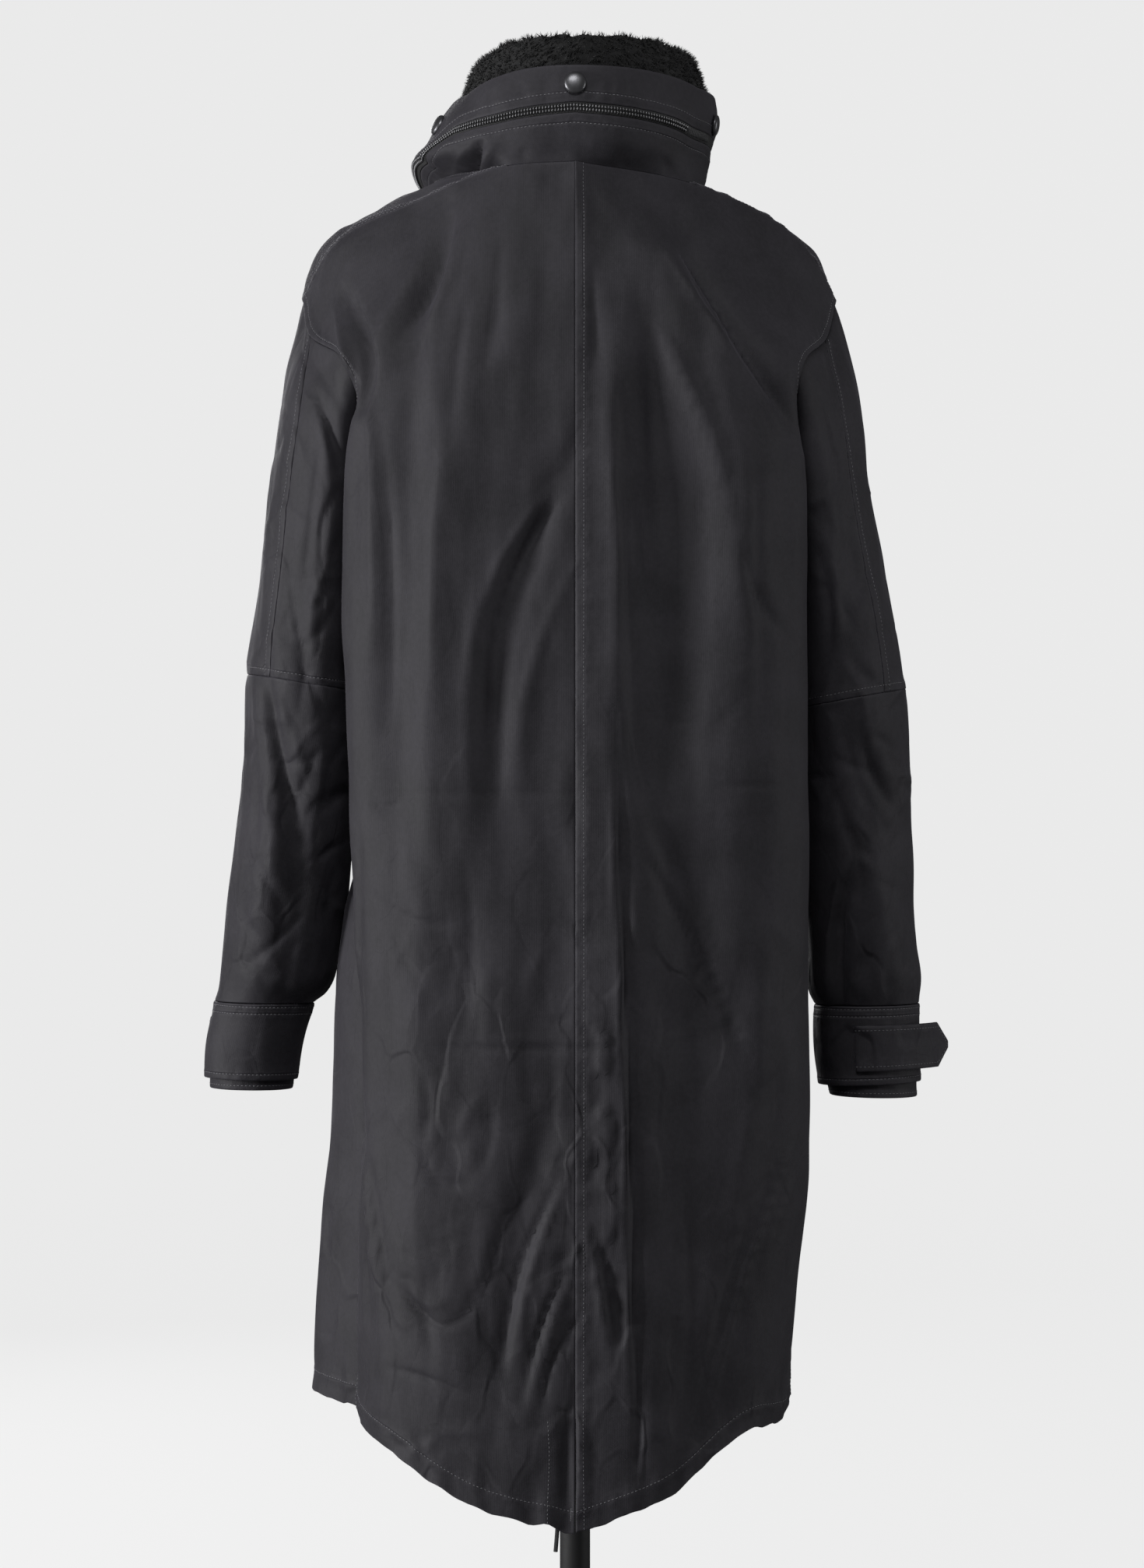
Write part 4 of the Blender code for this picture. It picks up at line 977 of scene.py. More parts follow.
# Finer creases of the body, each through three points.
BODY_FINE = on_face(
    "back",
    # x0, z0, x1, z1, x2, z2, width, rise
    (80, 1440, 122, 1374, 178, 1284, 4.2, -8.8),
    (70, 1436, 111, 1367, 168, 1276, 6, 8.8),
    (62, 1376, 90, 1320, 112, 1239, 6, 7),
    (34, 1330, 48, 1250, 58, 1130, 6.8, -5.2),
    (20, 1340, 32, 1230, 30, 1060, 6.8, 5.2),
    (26, 1080, 36, 864, 45, 470, 3.4, 6),
    (31, 1080, 41, 864, 51, 440, 4.2, -7.4),
    (45, 965, 97, 873, 147, 760, 2.9, -3.5),
    (52, 968, 104, 876, 154, 764, 5.1, 2.4),
    (180, 730, 142, 640, 104, 498, 2.5, 4.6),
    (172, 726, 134, 640, 97, 500, 4.2, -3.5),
    (176, 690, 162, 660, 150, 610, 2.5, 3.2),
    (184, 660, 172, 620, 168, 560, 3.4, -3.2),
    (106, 1003, 136, 1004, 167, 1003, 2, -1.6),
    (130, 1200, 150, 1150, 178, 1110, 5.1, -3.9),
    (96, 1330, 118, 1240, 128, 1120, 7.6, 4.2),
    (142, 1270, 148, 1180, 150, 1040, 7.6, -4.5),
    (12, 1420, 16, 1360, 24, 1300, 5.1, -3.5),
    (84, 700, 92, 620, 88, 520, 5.1, -2.2),
    (-98, 1468, -112, 1410, -150, 1350, 6, -7),
    (-88, 1464, -102, 1404, -136, 1340, 5.1, 5.2),
    (-118, 1440, -136, 1400, -168, 1352, 5.1, 5.2),
    (-84, 1400, -96, 1330, -98, 1270, 6, -3.5),
    (-60, 1440, -62, 1390, -74, 1330, 6, -3.1),
    (-190, 1412, -174, 1368, -172, 1300, 6, -13),
    (-199, 1400, -186, 1362, -182, 1306, 5, 5),
    (-168, 1330, -160, 1220, -162, 1100, 6.8, 5.2),
    (-156, 1300, -148, 1180, -150, 1040, 6, -5.2),
    (-104, 1290, -112, 1160, -106, 1030, 7.6, 3.9),
    (-4, 1240, -52, 1174, -64, 1040, 5.1, -6),
    (-14, 1246, -62, 1176, -75, 1040, 6.8, 4.5),
    (-170, 997, -75, 998, 36, 997, 1.9, -1.5),
    (-124, 795, -44, 796, 34, 795, 2, -1.9),
    (-124, 801, -44, 802, 34, 801, 2.9, 0.9),
    (-166, 922, -142, 902, -92, 894, 2.2, -2.2),
    (-166, 1000, -152, 985, -137, 990, 3.4, -2.4),
    (-88, 950, -84, 860, -92, 800, 6, -2.7),
    (-124, 782, -118, 745, -124, 716, 3.4, -2.6),
    (-122, 722, -108, 688, -80, 688, 3.4, -2.6),
    (-82, 690, -70, 710, -70, 756, 3.4, -2.6),
    (-72, 760, -82, 750, -90, 724, 3.4, 2),
    (-4, 706, -36, 644, -60, 532, 3.4, -4.9),
    (2, 716, -26, 650, -50, 536, 3.7, 4.3),
    (4, 640, -20, 594, -44, 506, 3.4, -4.9),
    (6, 650, -12, 600, -34, 510, 3.1, 4.1),
    (8, 590, -18, 552, -28, 492, 2.9, -4.1),
    (-30, 690, -64, 640, -72, 560, 4.2, -3),
    (-142, 609, -112, 576, -101, 572, 2.9, -4.1),
    (-107, 574, -88, 584, -78, 610, 2.9, -4.1),
    (-128, 604, -108, 592, -94, 600, 4.2, 2.2),
    (-152, 540, -126, 536, -82, 520, 2.9, -3),
    (-178, 724, -164, 660, -154, 560, 2.9, 4.9),
    (-170, 722, -157, 660, -146, 566, 3.4, -3.8),
    (8, 824, 24, 796, 20, 770, 3.4, 4.3),
    (12, 786, 20, 764, 12, 742, 2.5, -4.6),
    (16, 760, 26, 730, 20, 706, 3.4, 4.3),
    (10, 730, 18, 712, 12, 690, 2.5, -4.1),
    (22, 700, 30, 660, 24, 640, 3.4, 3.5),
    (14, 660, 26, 620, 34, 560, 4.2, -4.6),
    (6, 660, 18, 614, 26, 556, 3.4, 4.1),
    (-3, 824, -9, 818, -18, 816, 2.5, -2.4),
    (-3, 716, -10, 708, -19, 708, 2.5, -2.4),
    (-3, 640, -9, 630, -22, 626, 2.5, -2.4),
    (3, 516, 5, 470, 6, 424, 4, 4.2),
    (-7, 512, -8, 470, -7, 428, 5, -3.4),
    (-16, 513, -9, 510, -1, 511, 2.4, -3.4),
    (38, 1330, 43, 1180, 52, 980, 7, -7),
    (-172, 990, -176, 800, -164, 540, 3.4, -6),
    (-76, 1180, -84, 1060, -78, 960, 7, 4),
    (6, 1190, -36, 1090, -40, 960, 7, 3.4),
) + on_face(
    "front",
    (-186, 900, -190, 720, -196, 480, 5, -7),
    (-176, 860, -182, 660, -186, 480, 4, 5),
    (66, 1420, 96, 1350, 140, 1262, 5, -5.4),
    (56, 1412, 86, 1342, 130, 1254, 7, 4.8),
    (-62, 1410, -98, 1340, -144, 1240, 5, -5.4),
    (-50, 1404, -88, 1330, -132, 1232, 7, 4.6),
    (30, 1300, 44, 1200, 52, 1060, 8, -4.1),
    (-34, 1260, -50, 1160, -56, 1020, 8, -4.1),
    (60, 1000, 66, 820, 58, 560, 5, -4.3),
    (50, 1000, 56, 820, 48, 560, 6, 3.6),
    (-104, 980, -98, 800, -88, 520, 5, -4.3),
    (-94, 980, -88, 800, -78, 520, 6, 3.6),
    (140, 980, 112, 900, 84, 850, 4, -3.4),
    (-150, 1010, -118, 940, -80, 900, 4, -3.4),
    (110, 1003, 60, 1004, 20, 1003, 2.4, -1.1),
    (-120, 996, -70, 997, -24, 996, 2.4, -1.1),
    (120, 700, 104, 620, 96, 530, 4, -3.6),
    (-126, 690, -112, 610, -104, 530, 4, 3.4),
    (84, 700, 60, 640, 50, 560, 4, -3.1),
    (-60, 720, -48, 640, -56, 540, 4, -3.1),
)
SLEEVE_FINE = {
    "left": on_face(
        "back",
        (-221, 1362, -204, 1336, -186, 1308, 5, -10),
        (-216, 1372, -200, 1350, -186, 1330, 4, 3),
        (-210, 1326, -198, 1292, -187, 1252, 5, -10),
        (-214, 1324, -205, 1292, -195, 1260, 4.5, 3.5),
        (-188, 1250, -206, 1205, -202, 1160, 5, -3.4),
        (-196, 1190, -214, 1140, -208, 1096, 5, 3),
        (-230, 1150, -220, 1100, -226, 1056, 4, -2.6),
        (-249, 1092, -240, 1030, -222, 950, 5, -4.0),
        (-258, 1090, -250, 1030, -232, 950, 6, 2.6),
        (-213, 978, -198, 990, -184, 1004, 5, -3.5),
        (-244, 1250, -250, 1190, -252, 1120, 7, 2.5),
        (-206, 1290, -214, 1210, -222, 1150, 6, -3.0),
        (-262, 1040, -262, 960, -270, 900, 6, -2.4),
        (-276, 905, -262, 880, -236, 866, 5, -2.6),
        (-280, 860, -262, 850, -244, 846, 4, -2.4),
        (-192, 1160, -206, 1130, -226, 1112, 5, -2.4),
    ) + on_face(
        "front",
        (-240, 1250, -246, 1180, -248, 1110, 7, -3.0),
        (-252, 1090, -240, 1030, -222, 960, 5, -3.5),
        (-262, 1000, -258, 940, -268, 880, 6, 2.6),
        (-236, 900, -252, 872, -280, 860, 5, -2.6),
    ),
    "right": on_face(
        "back",
        (190, 1330, 204, 1290, 212, 1240, 4.5, -5),
        (196, 1200, 206, 1150, 204, 1090, 5, -4),
        (202, 1210, 212, 1160, 210, 1100, 5, 3),
        (222, 1110, 240, 1090, 262, 1076, 5, -3.0),
        (232, 1056, 246, 1010, 268, 976, 5, -3.5),
        (224, 1050, 238, 1004, 260, 968, 6, 2.4),
        (206, 1010, 226, 960, 240, 900, 5, -3.0),
        (210, 1290, 218, 1220, 230, 1150, 6, -3.0),
        (238, 1260, 246, 1200, 250, 1130, 7, 2.5),
        (218, 940, 209, 860, 214, 800, 4, 5),
        (228, 940, 217, 860, 224, 800, 5, -8),
        (258, 900, 270, 866, 276, 842, 5, -2.6),
    ) + on_face(
        "front",
        (236, 1250, 242, 1180, 246, 1110, 7, -3.0),
        (250, 1090, 238, 1030, 220, 960, 5, -3.5),
        (260, 1000, 256, 940, 266, 880, 6, 2.6),
        (234, 900, 250, 872, 276, 856, 5, -2.6),
    ),
}
COLLAR_FINE = on_face(
    "back",
    (-76, 1524, -82, 1506, -94, 1482, 4.4, -15.0),
    (-65, 1522, -71, 1504, -81, 1484, 5, 6.5),
    (-87, 1521, -94, 1506, -101, 1490, 5, 3.0),
    (-40, 1516, -42, 1510, -40, 1500, 5, -1.6),
    (36, 1518, 40, 1508, 38, 1498, 5, -1.6),
    (70, 1512, 76, 1502, 74, 1490, 5, -2.0),
    (16, 1572, 15, 1560, 16, 1546, 3, -1.3),
    (27, 1572, 29, 1560, 27, 1546, 3, -1.5),
    (40, 1572, 39, 1560, 41, 1546, 3.4, -1.3),
    (54, 1570, 56, 1558, 54, 1545, 3.4, -1.6),
    (70, 1568, 70, 1558, 73, 1544, 4, -1.3),
    (-22, 1572, -24, 1560, -22, 1546, 4, -1.1),
    (-44, 1570, -42, 1558, -45, 1546, 4, -1.4),
    (-66, 1566, -68, 1554, -66, 1540, 4, -1.6),
) + on_face(
    "front",
    (60, 1530, 64, 1510, 62, 1490, 5, -2.0),
    (-60, 1530, -66, 1510, -62, 1490, 5, -2.0),
)


def scattered(regions, sign=1):
    """Small creases at random places of regions of a face, most of them steep. A sign of -1 puts them on the
    wearer's left."""
    rows = []
    for face, count, low_x, high_x, low_z, high_z, rise, seed in regions:
        random = np.random.default_rng(seed)
        reach = sorted((sign * low_x, sign * high_x))
        for _ in range(count):
            x, z = random.uniform(*reach), random.uniform(low_z, high_z)
            length, tilt = random.uniform(22, 80), radians(random.normal(0, 34))
            run_x, run_z = length * sin(tilt) / 2, length * cos(tilt) / 2
            depth = rise * random.uniform(0.4, 1) * random.choice((-1, -1, 1))
            width, bow = random.uniform(2.6, 5), random.normal(0, length * 0.07)
            rows.append((face, x - run_x, z + run_z, x + bow, z, x + run_x, z - run_z, width, depth))
    return tuple(rows)


def row_places(heights, size):
    """Places of rows between key sections that stand the given heights apart, closer at both ends."""
    places = spread([max(2, round(height / size)) for height in heights])
    return edged(places, heights[0], heights[-1])


def even(low, high, width, size):
    """Evenly spaced numbers for columns a size apart across a width, closer at both ends."""
    numbers = np.linspace(low, high, max(4, round(width / size)) + 1)
    return edged(numbers, width / (high - low))


# Regions of small creases, for scattered(). Those of the sleeves are measured out from the middle.
BODY_REGIONS = (
    # face, count, low_x, high_x, low_z, high_z, rise, seed
    ("back", 64, -170, 30, 470, 900, 1.5, 11),
    ("back", 26, 20, 175, 470, 900, 1.3, 12),
    ("back", 20, -180, 180, 900, 1440, 1.0, 13),
    ("front", 70, -165, 165, 500, 900, 1.5, 14),
    ("front", 44, -170, 170, 900, 1400, 1.3, 15),
)
SLEEVE_REGIONS = {
    "left": (
        ("back", 28, 190, 285, 830, 1300, 1.4, 21),
        ("front", 20, 190, 285, 830, 1300, 1.3, 22),
        ("back", 34, 175, 280, 840, 1110, 2.4, 20),
        ("back", 16, 170, 262, 1110, 1330, 1.8, 24),
        ("front", 34, 175, 280, 840, 1110, 2.4, 21),
        ("front", 16, 170, 262, 1110, 1330, 1.8, 25),
    ),
    "right": (
        ("back", 24, 190, 285, 830, 1300, 1.3, 23),
        ("front", 20, 190, 285, 830, 1300, 1.3, 24),
        ("back", 34, 175, 280, 840, 1110, 2.4, 22),
        ("back", 16, 170, 262, 1110, 1330, 1.8, 26),
        ("front", 34, 175, 280, 840, 1110, 2.4, 23),
        ("front", 16, 170, 262, 1110, 1330, 1.8, 27),
    ),
}
BODY_CREASES = BODY_FINE + scattered(BODY_REGIONS)
SLEEVE_CREASES = {
    side: SLEEVE_FINE[side] + scattered(SLEEVE_REGIONS[side], sign) for side, sign in SIDES.items()
}
LOWER_HEIGHTS = (145, 135, 130, 120, 100, 100)
BACK_HEIGHTS = LOWER_HEIGHTS + (70, 85, 77, 75)
FRONT_HEIGHTS = LOWER_HEIGHTS + (66, 76, 62, 40, 40, 14)
BODY_ROW = 3.2
BACK_COLUMN, FRONT_COLUMN = 3.2, 5.2
BACK_ACROSS, FRONT_ACROSS = 215, 300  # about how wide a back and a front panel are
HEM_CHANNEL = 17
BODY_STITCHES = {
    "back_left": (("bottom", HEM_CHANNEL), ("last", 6)),
    "back_right": (("first", 7), ("bottom", HEM_CHANNEL), ("last", 6)),
    "front_left": (("bottom", HEM_CHANNEL), ("last", 6), ("top", 2.4), ("top", 9)),
    "front_right": (("bottom", HEM_CHANNEL), ("last", 6), ("top", 2.4), ("top", 9)),
}
FACING_STITCH = ("first", 22, 300, 505)  # edge, offset, lowest and highest place
BAR_TACK = ("first", 3, 420, 434)
BAR_TACK_PITCH = 1.1
GATHER_SIZE, GATHER_RISE, GATHER_REACH = 15.0, 2.2, 26.0
HEM_WAVE, HEM_WAVE_REACH = 2.4, 14.0


def build_body(look):
    for side, sign in SIDES.items():
        back_shares = even(0, 1, BACK_ACROSS, BACK_COLUMN)
        front_shares = even(0, 1, FRONT_ACROSS, FRONT_COLUMN)
        back = back_points(side, back_shares, row_places(BACK_HEIGHTS, BODY_ROW))
        front = front_points(side, front_shares, row_places(FRONT_HEIGHTS, BODY_ROW))
        for part, points in (("back", back), ("front", front)):
            name = f"{part}_{side}"
            points = creased(points, BODY_CREASES, crisp=True)
            points[..., 0] += sign * VENT_OPEN * vent_share(points) * (part == "back")
            cloth = Cloth(name, points, sign)
            near_hem = np.exp(-((cloth.edges["bottom"] / HEM_WAVE_REACH) ** 2))
            cloth.points[..., 2] += HEM_WAVE * near_hem * ripples(cloth, "bottom", GATHER_SIZE)
            gather = GATHER_RISE * np.exp(-((cloth.edges["bottom"] / GATHER_REACH) ** 2))
            cloth.raise_by(gather * ripples(cloth, "bottom", GATHER_SIZE))
            build_cloth(cloth, CLOTH, look, BODY_STITCHES[name])
            if name == "back_left":
                for row, pitch in ((FACING_STITCH, STITCH_PITCH), (BAR_TACK, BAR_TACK_PITCH)):
                    STITCHES.append(resampled(*cloth.line(*row), pitch))


def vent_share(points):
    """1 at the open edge of the vent, falling to 0 across the panel and at the vent's top."""
    open_share = np.clip((VENT_TOP - points[..., 2]) / VENT_FADE, 0, 1)
    return open_share * np.clip(1 - np.abs(points[..., 0]) / VENT_SIDE, 0, 1) * (points[..., 1] < 0)


FLY_SHARES = (0.90, 1.0)
FLY_FOOT, FLY_TOP = 8.0, 3.0  # how far its ends lie inside the front's
FLY_ROW, FLY_COLUMN = 4.0, 6.0


def build_fly(look):
    """The strip over the closure, across both fronts' last columns."""
    places = row_places(FRONT_HEIGHTS[:NECK_KEY], FLY_ROW)
    places = np.clip(places, FLY_FOOT / FRONT_HEIGHTS[0], NECK_KEY - FLY_TOP / FRONT_HEIGHTS[NECK_KEY - 1])
    shares = np.linspace(*FLY_SHARES, 6)
    right, left = (
        creased(front_points(side, shares, places), BODY_CREASES, crisp=True) for side in ("right", "left")
    )
    points = np.concatenate([right, left[:, -2::-1]], axis=1)
    across = edged(np.arange(points.shape[1], dtype=float), FLY_COLUMN)
    cloth = Cloth("front_fly", through(points.transpose(1, 0, 2), across).transpose(1, 0, 2))
    cloth.raise_by(np.full(cloth.out.shape[:2], LAY_GAP + FLY_LIFT))
    build_cloth(cloth, FLY_CLOTH, look, (("first", 6), ("last", 6)), calm=0.4)
    return cloth


# Sleeves, cuffs and straps

SLEEVE_COLUMN_SIZE, SLEEVE_ROW = 3.4, 3.6
UPPER_HEIGHTS = (71, 71, 72, 52, 42)
LOWER_SLEEVE_HEIGHTS = (74, 84, 68, 30, 22)
SLEEVE_ROUND = 400.0  # about how far it is round a sleeve
CUFF_ROUND = 260.0
CUFF_COLUMN, CUFF_ROW = 3.0, 2.6
BACK_SEAM_ANGLE = BACK_ANGLES[SLEEVE_SEAM_KEY]


def ring_points(side, sections, angles):
    """Points, by (section, angle, xyz), of sleeve or cuff sections at angles in degrees."""
    table = np.array([row[1:] for row in sections], float)[:, None]
    in_x, in_z, out_x, out_z, mid_y, half_depth = np.moveaxis(table, -1, 0)
    turn = np.radians(angles)
    x = (in_x + out_x + (in_x - out_x) * np.cos(turn)) / 2 * SIDES[side]
    z = (in_z + out_z + (in_z - out_z) * np.cos(turn)) / 2
    return np.stack([x, mid_y - half_depth * np.sin(turn), z], axis=-1)


def armhole_points(side, angles):
    """Points round the armhole, tucked under the body's edge, that the sleeve's lines at angles run from."""
    backs = UNDERARM + np.interp(angles, BACK_ANGLES, range(len(BACK_ANGLES)))
    fronts = 2 * UNDERARM - np.interp(angles, FRONT_ANGLES, range(len(FRONT_ANGLES)))
    back, front = back_points(side, [1.0], backs)[:, 0], front_points(side, [0.0], fronts)[:, 0]
    ends = back_points(side, [1.0], [UNDERARM, len(BACK_HEIGHTS)])[:, 0]
    facing = unit(np.cross(ends[1] - ends[0], (0, 1, 0)) * SIDES[side])
    facing *= np.sign(facing[0] * SIDES[side])
    points = np.where((np.asarray(angles) <= BACK_ANGLES[-1])[:, None], back, front)
    inwards = ends.mean(axis=0) - points
    inwards -= facing * (inwards @ facing)[:, None]
    return points - facing * ARMHOLE_TUCK + unit(inwards) * ARMHOLE_UNDER


def sleeve_points(side, angles, places):
    """Points of the sleeve at angles round it and places down it, with its creases."""
    def plain(turns):
        rings = ring_points(side, SLEEVE_SECTIONS[side], turns)
        return through(np.concatenate([armhole_points(side, turns)[None], rings]), places)

    points = plain(angles)
    centre = plain(np.arange(0, 360, 10)).mean(axis=1, keepdims=True)
    folded = creased(points, SLEEVE_FOLDS[side], centre)
    folded = creased(folded, SLEEVE_CREASES[side], centre, crisp=True)
    return points + (folded - points) * np.clip(places, 0, 1)[:, None, None]


def build_sleeve(side, look):
    upper = row_places(UPPER_HEIGHTS, SLEEVE_ROW)
    lower = ELBOW + row_places(LOWER_SLEEVE_HEIGHTS, SLEEVE_ROW)
    per_degree = SLEEVE_ROUND / 360
    back_angles = even(0, BACK_SEAM_ANGLE, BACK_SEAM_ANGLE * per_degree, SLEEVE_COLUMN_SIZE)
    front_width = (360 - BACK_SEAM_ANGLE) * per_degree
    front_angles = even(BACK_SEAM_ANGLE, 360, front_width, SLEEVE_COLUMN_SIZE)
    round_angles = np.linspace(0, 360, round(SLEEVE_ROUND / SLEEVE_COLUMN_SIZE) + 1)[:-1]
    sign = -SIDES[side]
    pieces = (
        (f"sleeve_upper_back_{side}", back_angles, upper, False, (("top", 6),)),
        (f"sleeve_upper_front_{side}", front_angles, upper, False, (("first", 6), ("top", 6))),
        (f"sleeve_lower_{side}", round_angles, lower, True, ()),
    )
    for name, angles, places, ring, stitches in pieces:
        cloth = Cloth(name, sleeve_points(side, angles, places), sign, ring)
        build_cloth(cloth, CLOTH, look, stitches)


def cuff_sections(side):
    """The cuff's sections: the sleeve's last one, just below it, and its own."""
    name, in_x, in_z, out_x, out_z, mid_y, half_depth = SLEEVE_SECTIONS[side][-1]
    return (("top", in_x, in_z - 0.4, out_x, out_z - 0.4, mid_y, half_depth), *CUFF_SECTIONS[side])


def build_cuffs(side, look):
    angles = np.linspace(0, 360, round(CUFF_ROUND / CUFF_COLUMN) + 1)[:-1]
    outer, inner = (("top", 5), ("bottom", 2.6), ("bottom", 8.6)), (("top", 4),)
    for name, sections, heights, wall, rows, holder, calm in (
        ("cuff", cuff_sections(side), (32, 32), CUFF_CLOTH, outer, "sleeve_lower", 0.5),
        ("cuff_inner", INNER_CUFF_SECTIONS[side], (40,), INNER_CUFF_CLOTH, inner, "cuff", 0.4),
    ):
        points = through(ring_points(side, sections, angles), row_places(heights, CUFF_ROW))
        cloth = Cloth(f"{name}_{side}", points, -SIDES[side], True)
        build_cloth(cloth, wall, look, rows, calm=calm)


STRAP_MIDDLE = 1.04
STRAP_TIP = 3.0
STRAP_OUT = 2.0
STRAP_BEND = 0.6
STRAP_SQUARE_END = 0.06  # share of the way to the tip at which the strap starts to narrow
STRAP_END_ROWS = (0.2, 0.35, 0.5, 0.65, 0.78, 0.88, 0.94, 0.98, 1.0)


def strap_points(side):
    """The pointed strap round the cuff, rows from its lower to its upper edge. Its free end stands off."""
    s, sections = STRAPS[side], cuff_sections(side)
    share = np.linspace(0, 1, 34)
    angles = s["start"] + (s["leave"] - s["start"]) * share
    here, ahead = (ring_points(side, sections, angles + turn) for turn in (0, 1))
    across = edged(np.linspace(*STRAP_PLACES, 13)[::-1], 30)[::-1]
    rows = through(here, across)
    middle = through(here, [STRAP_MIDDLE])[0]
    along = unit(through(ahead, [STRAP_MIDDLE])[0] - middle)
    out = unit(np.cross(along, unit(rows[-1] - rows[0])))
    centre = ring_points(side, sections[1:2], [0, 180])[0].mean(axis=0)
    out *= np.sign((out * (middle - centre)).sum(axis=-1, keepdims=True))
    lift = out * (STRAP_LIFT + STRAP_OUT + s["stand_off"] * share[:, None] ** 4)
    rows, middle = rows + lift, middle + lift
    turn = out[-1] * s["stand_off"] * STRAP_BEND + along[-1] * s["point"]
    half = np.linalg.norm(rows[-1, -1] - rows[0, -1]) / 2
    ends = []
    for t in (STRAP_SQUARE_END, *STRAP_END_ROWS):
        narrow = max(0.0, (t - STRAP_SQUARE_END) / (1 - STRAP_SQUARE_END))
        width = 1 + (STRAP_TIP / half - 1) * narrow
        ends.append(middle[-1] + turn * t + (rows[:, -1] - middle[-1]) * width)
    return np.concatenate([rows, np.stack(ends, axis=1)], axis=1)


def build_strap(side, look):
    cloth = Cloth(f"cuff_strap_{side}", strap_points(side), SIDES[side])
    rows = (("bottom", 4), ("top", 4))
    build_cloth(cloth, CLOTH, look, rows, calm=0.2)


# Collar

FOOT_UNDER = 2.4  # how far the collar's foot reaches in and down under the neck seam
FRONT_SEAM_KEYS = (NECK_KEY, 12)


def neckline():
    """The neck edge's points and their angles round the neck from the centre back, the left ones negative."""
    halves = []
    for side, sign in SIDES.items():
        edge = front_points(side, [1.0], np.linspace(*FRONT_SEAM_KEYS, 60))[:, 0]
        neck = back_points(side, np.linspace(BACK_RAILS[1], 0, 40), [len(BACK_HEIGHTS)])[0]
        points = np.concatenate([edge, neck[1:]])
        angles = np.degrees(np.abs(np.arctan2(points[:, 0], -points[:, 1]))) * sign
        halves.append((points, angles))
    (left, left_angles), (right, right_angles) = halves
    return np.concatenate([left, right[-2::-1]]), np.concatenate([left_angles, right_angles[-2::-1]])


def collar_feet(angles):
    points, known = neckline()
    order = np.argsort(known)
    return np.stack([np.interp(angles, known[order], points[order, k]) for k in range(3)], axis=1)


def collar_points(angles, shares):
    """Points of the collar's outer face at angles, in degrees, and shares, by (row, angle), of its height."""
    feet, turn = collar_feet(angles), np.radians(angles)
    ahead = np.maximum(0, -np.cos(turn))
    right = np.asarray(angles) > 0
    beside = np.where(right, COLLAR_TOP_SIDE["right"], COLLAR_TOP_SIDE["left"])
    top = COLLAR_TOP_BACK + (beside - COLLAR_TOP_BACK) * np.minimum(1, 2 - 2 * np.cos(turn)) ** 1.2
    top += (COLLAR_TOP_FRONT - beside) * ahead**1.5
    keys = [feet]
    for level, left_reach, right_reach, back_reach, front_reach in COLLAR_SECTIONS:
        x = np.sin(turn) * np.where(right, right_reach, left_reach)
        y = -np.cos(turn) * np.where(ahead > 0, front_reach, back_reach)
        keys.append(np.stack([x, y, feet[:, 2] + level * (top - feet[:, 2])], axis=1))
    return through(np.array(keys), np.asarray(shares) * len(COLLAR_SECTIONS))


def collar_heights(angles):
    ends = collar_points(angles, np.array([[0.0], [1.0]]) * np.ones(len(angles)))
    return ends[1, :, 2] - ends[0, :, 2]


def zip_shares(angles):
    return np.interp(angles, *zip(*ZIP_LINE))


def collar_grid(angles, lows, highs, rows):
    shares = lows + (highs - lows) * np.asarray(rows)[:, None]
    points = creased(collar_points(angles, shares), COLLAR_FINE, crisp=True)
    points[:, 0, 0], points[:, -1, 0] = -COLLAR_END, COLLAR_END
    return points


def build_collar(look):
    end = 180 - degrees_of(COLLAR_END)
    angles = even(-end, end, COLLAR_ROUND, COLLAR_COLUMN)
    heights = collar_heights(angles)
    middle = zip_shares(angles)
    edge = (ZIP_WIDTH / 2 + SEAM_GAP) / heights
    foot = np.full(len(angles), SEAM_GAP / 2) / heights
    lower = collar_grid(angles, foot, middle - edge, even(0, 1, 42, COLLAR_ROW))
    upper = collar_grid(angles, middle + edge, np.ones(len(angles)), even(0, 1, 40, COLLAR_ROW))
    tuck = lower[:1] - unit(lower[:1] * (1, 1, 0)) * FOOT_UNDER - (0, 0, FOOT_UNDER)
    lower = np.concatenate([tuck, lower])
    pieces = (("collar_lower", lower, (("top", 8),)), ("collar_upper", upper, (("bottom", 8),)))
    for name, points, rows in pieces:
        build_cloth(Cloth(name, points), COLLAR_CLOTH, look, rows, calm=0.6)


def degrees_of(distance):
    """The angle, in degrees, that a distance round the collar takes."""
    return distance / COLLAR_RADIUS * 180 / pi


TOOTH_PITCH = 2.5
TOOTH_SIZE = (1.5, 4.0, 2.2)
TOOTH_SHIFT = 1.5
TAPE = 1.2
TAPE_ROWS = 9
TAPE_SUNK = 0.3
TEETH_END = 53  # degrees from the centre back at which the chain ends and the ribbed tape starts
RIBS_END = 74
RIB_SIZE, RIB_PITCH, RIB_LIFT = (0.9, 7.4, 0.9), 1.8, 0.2


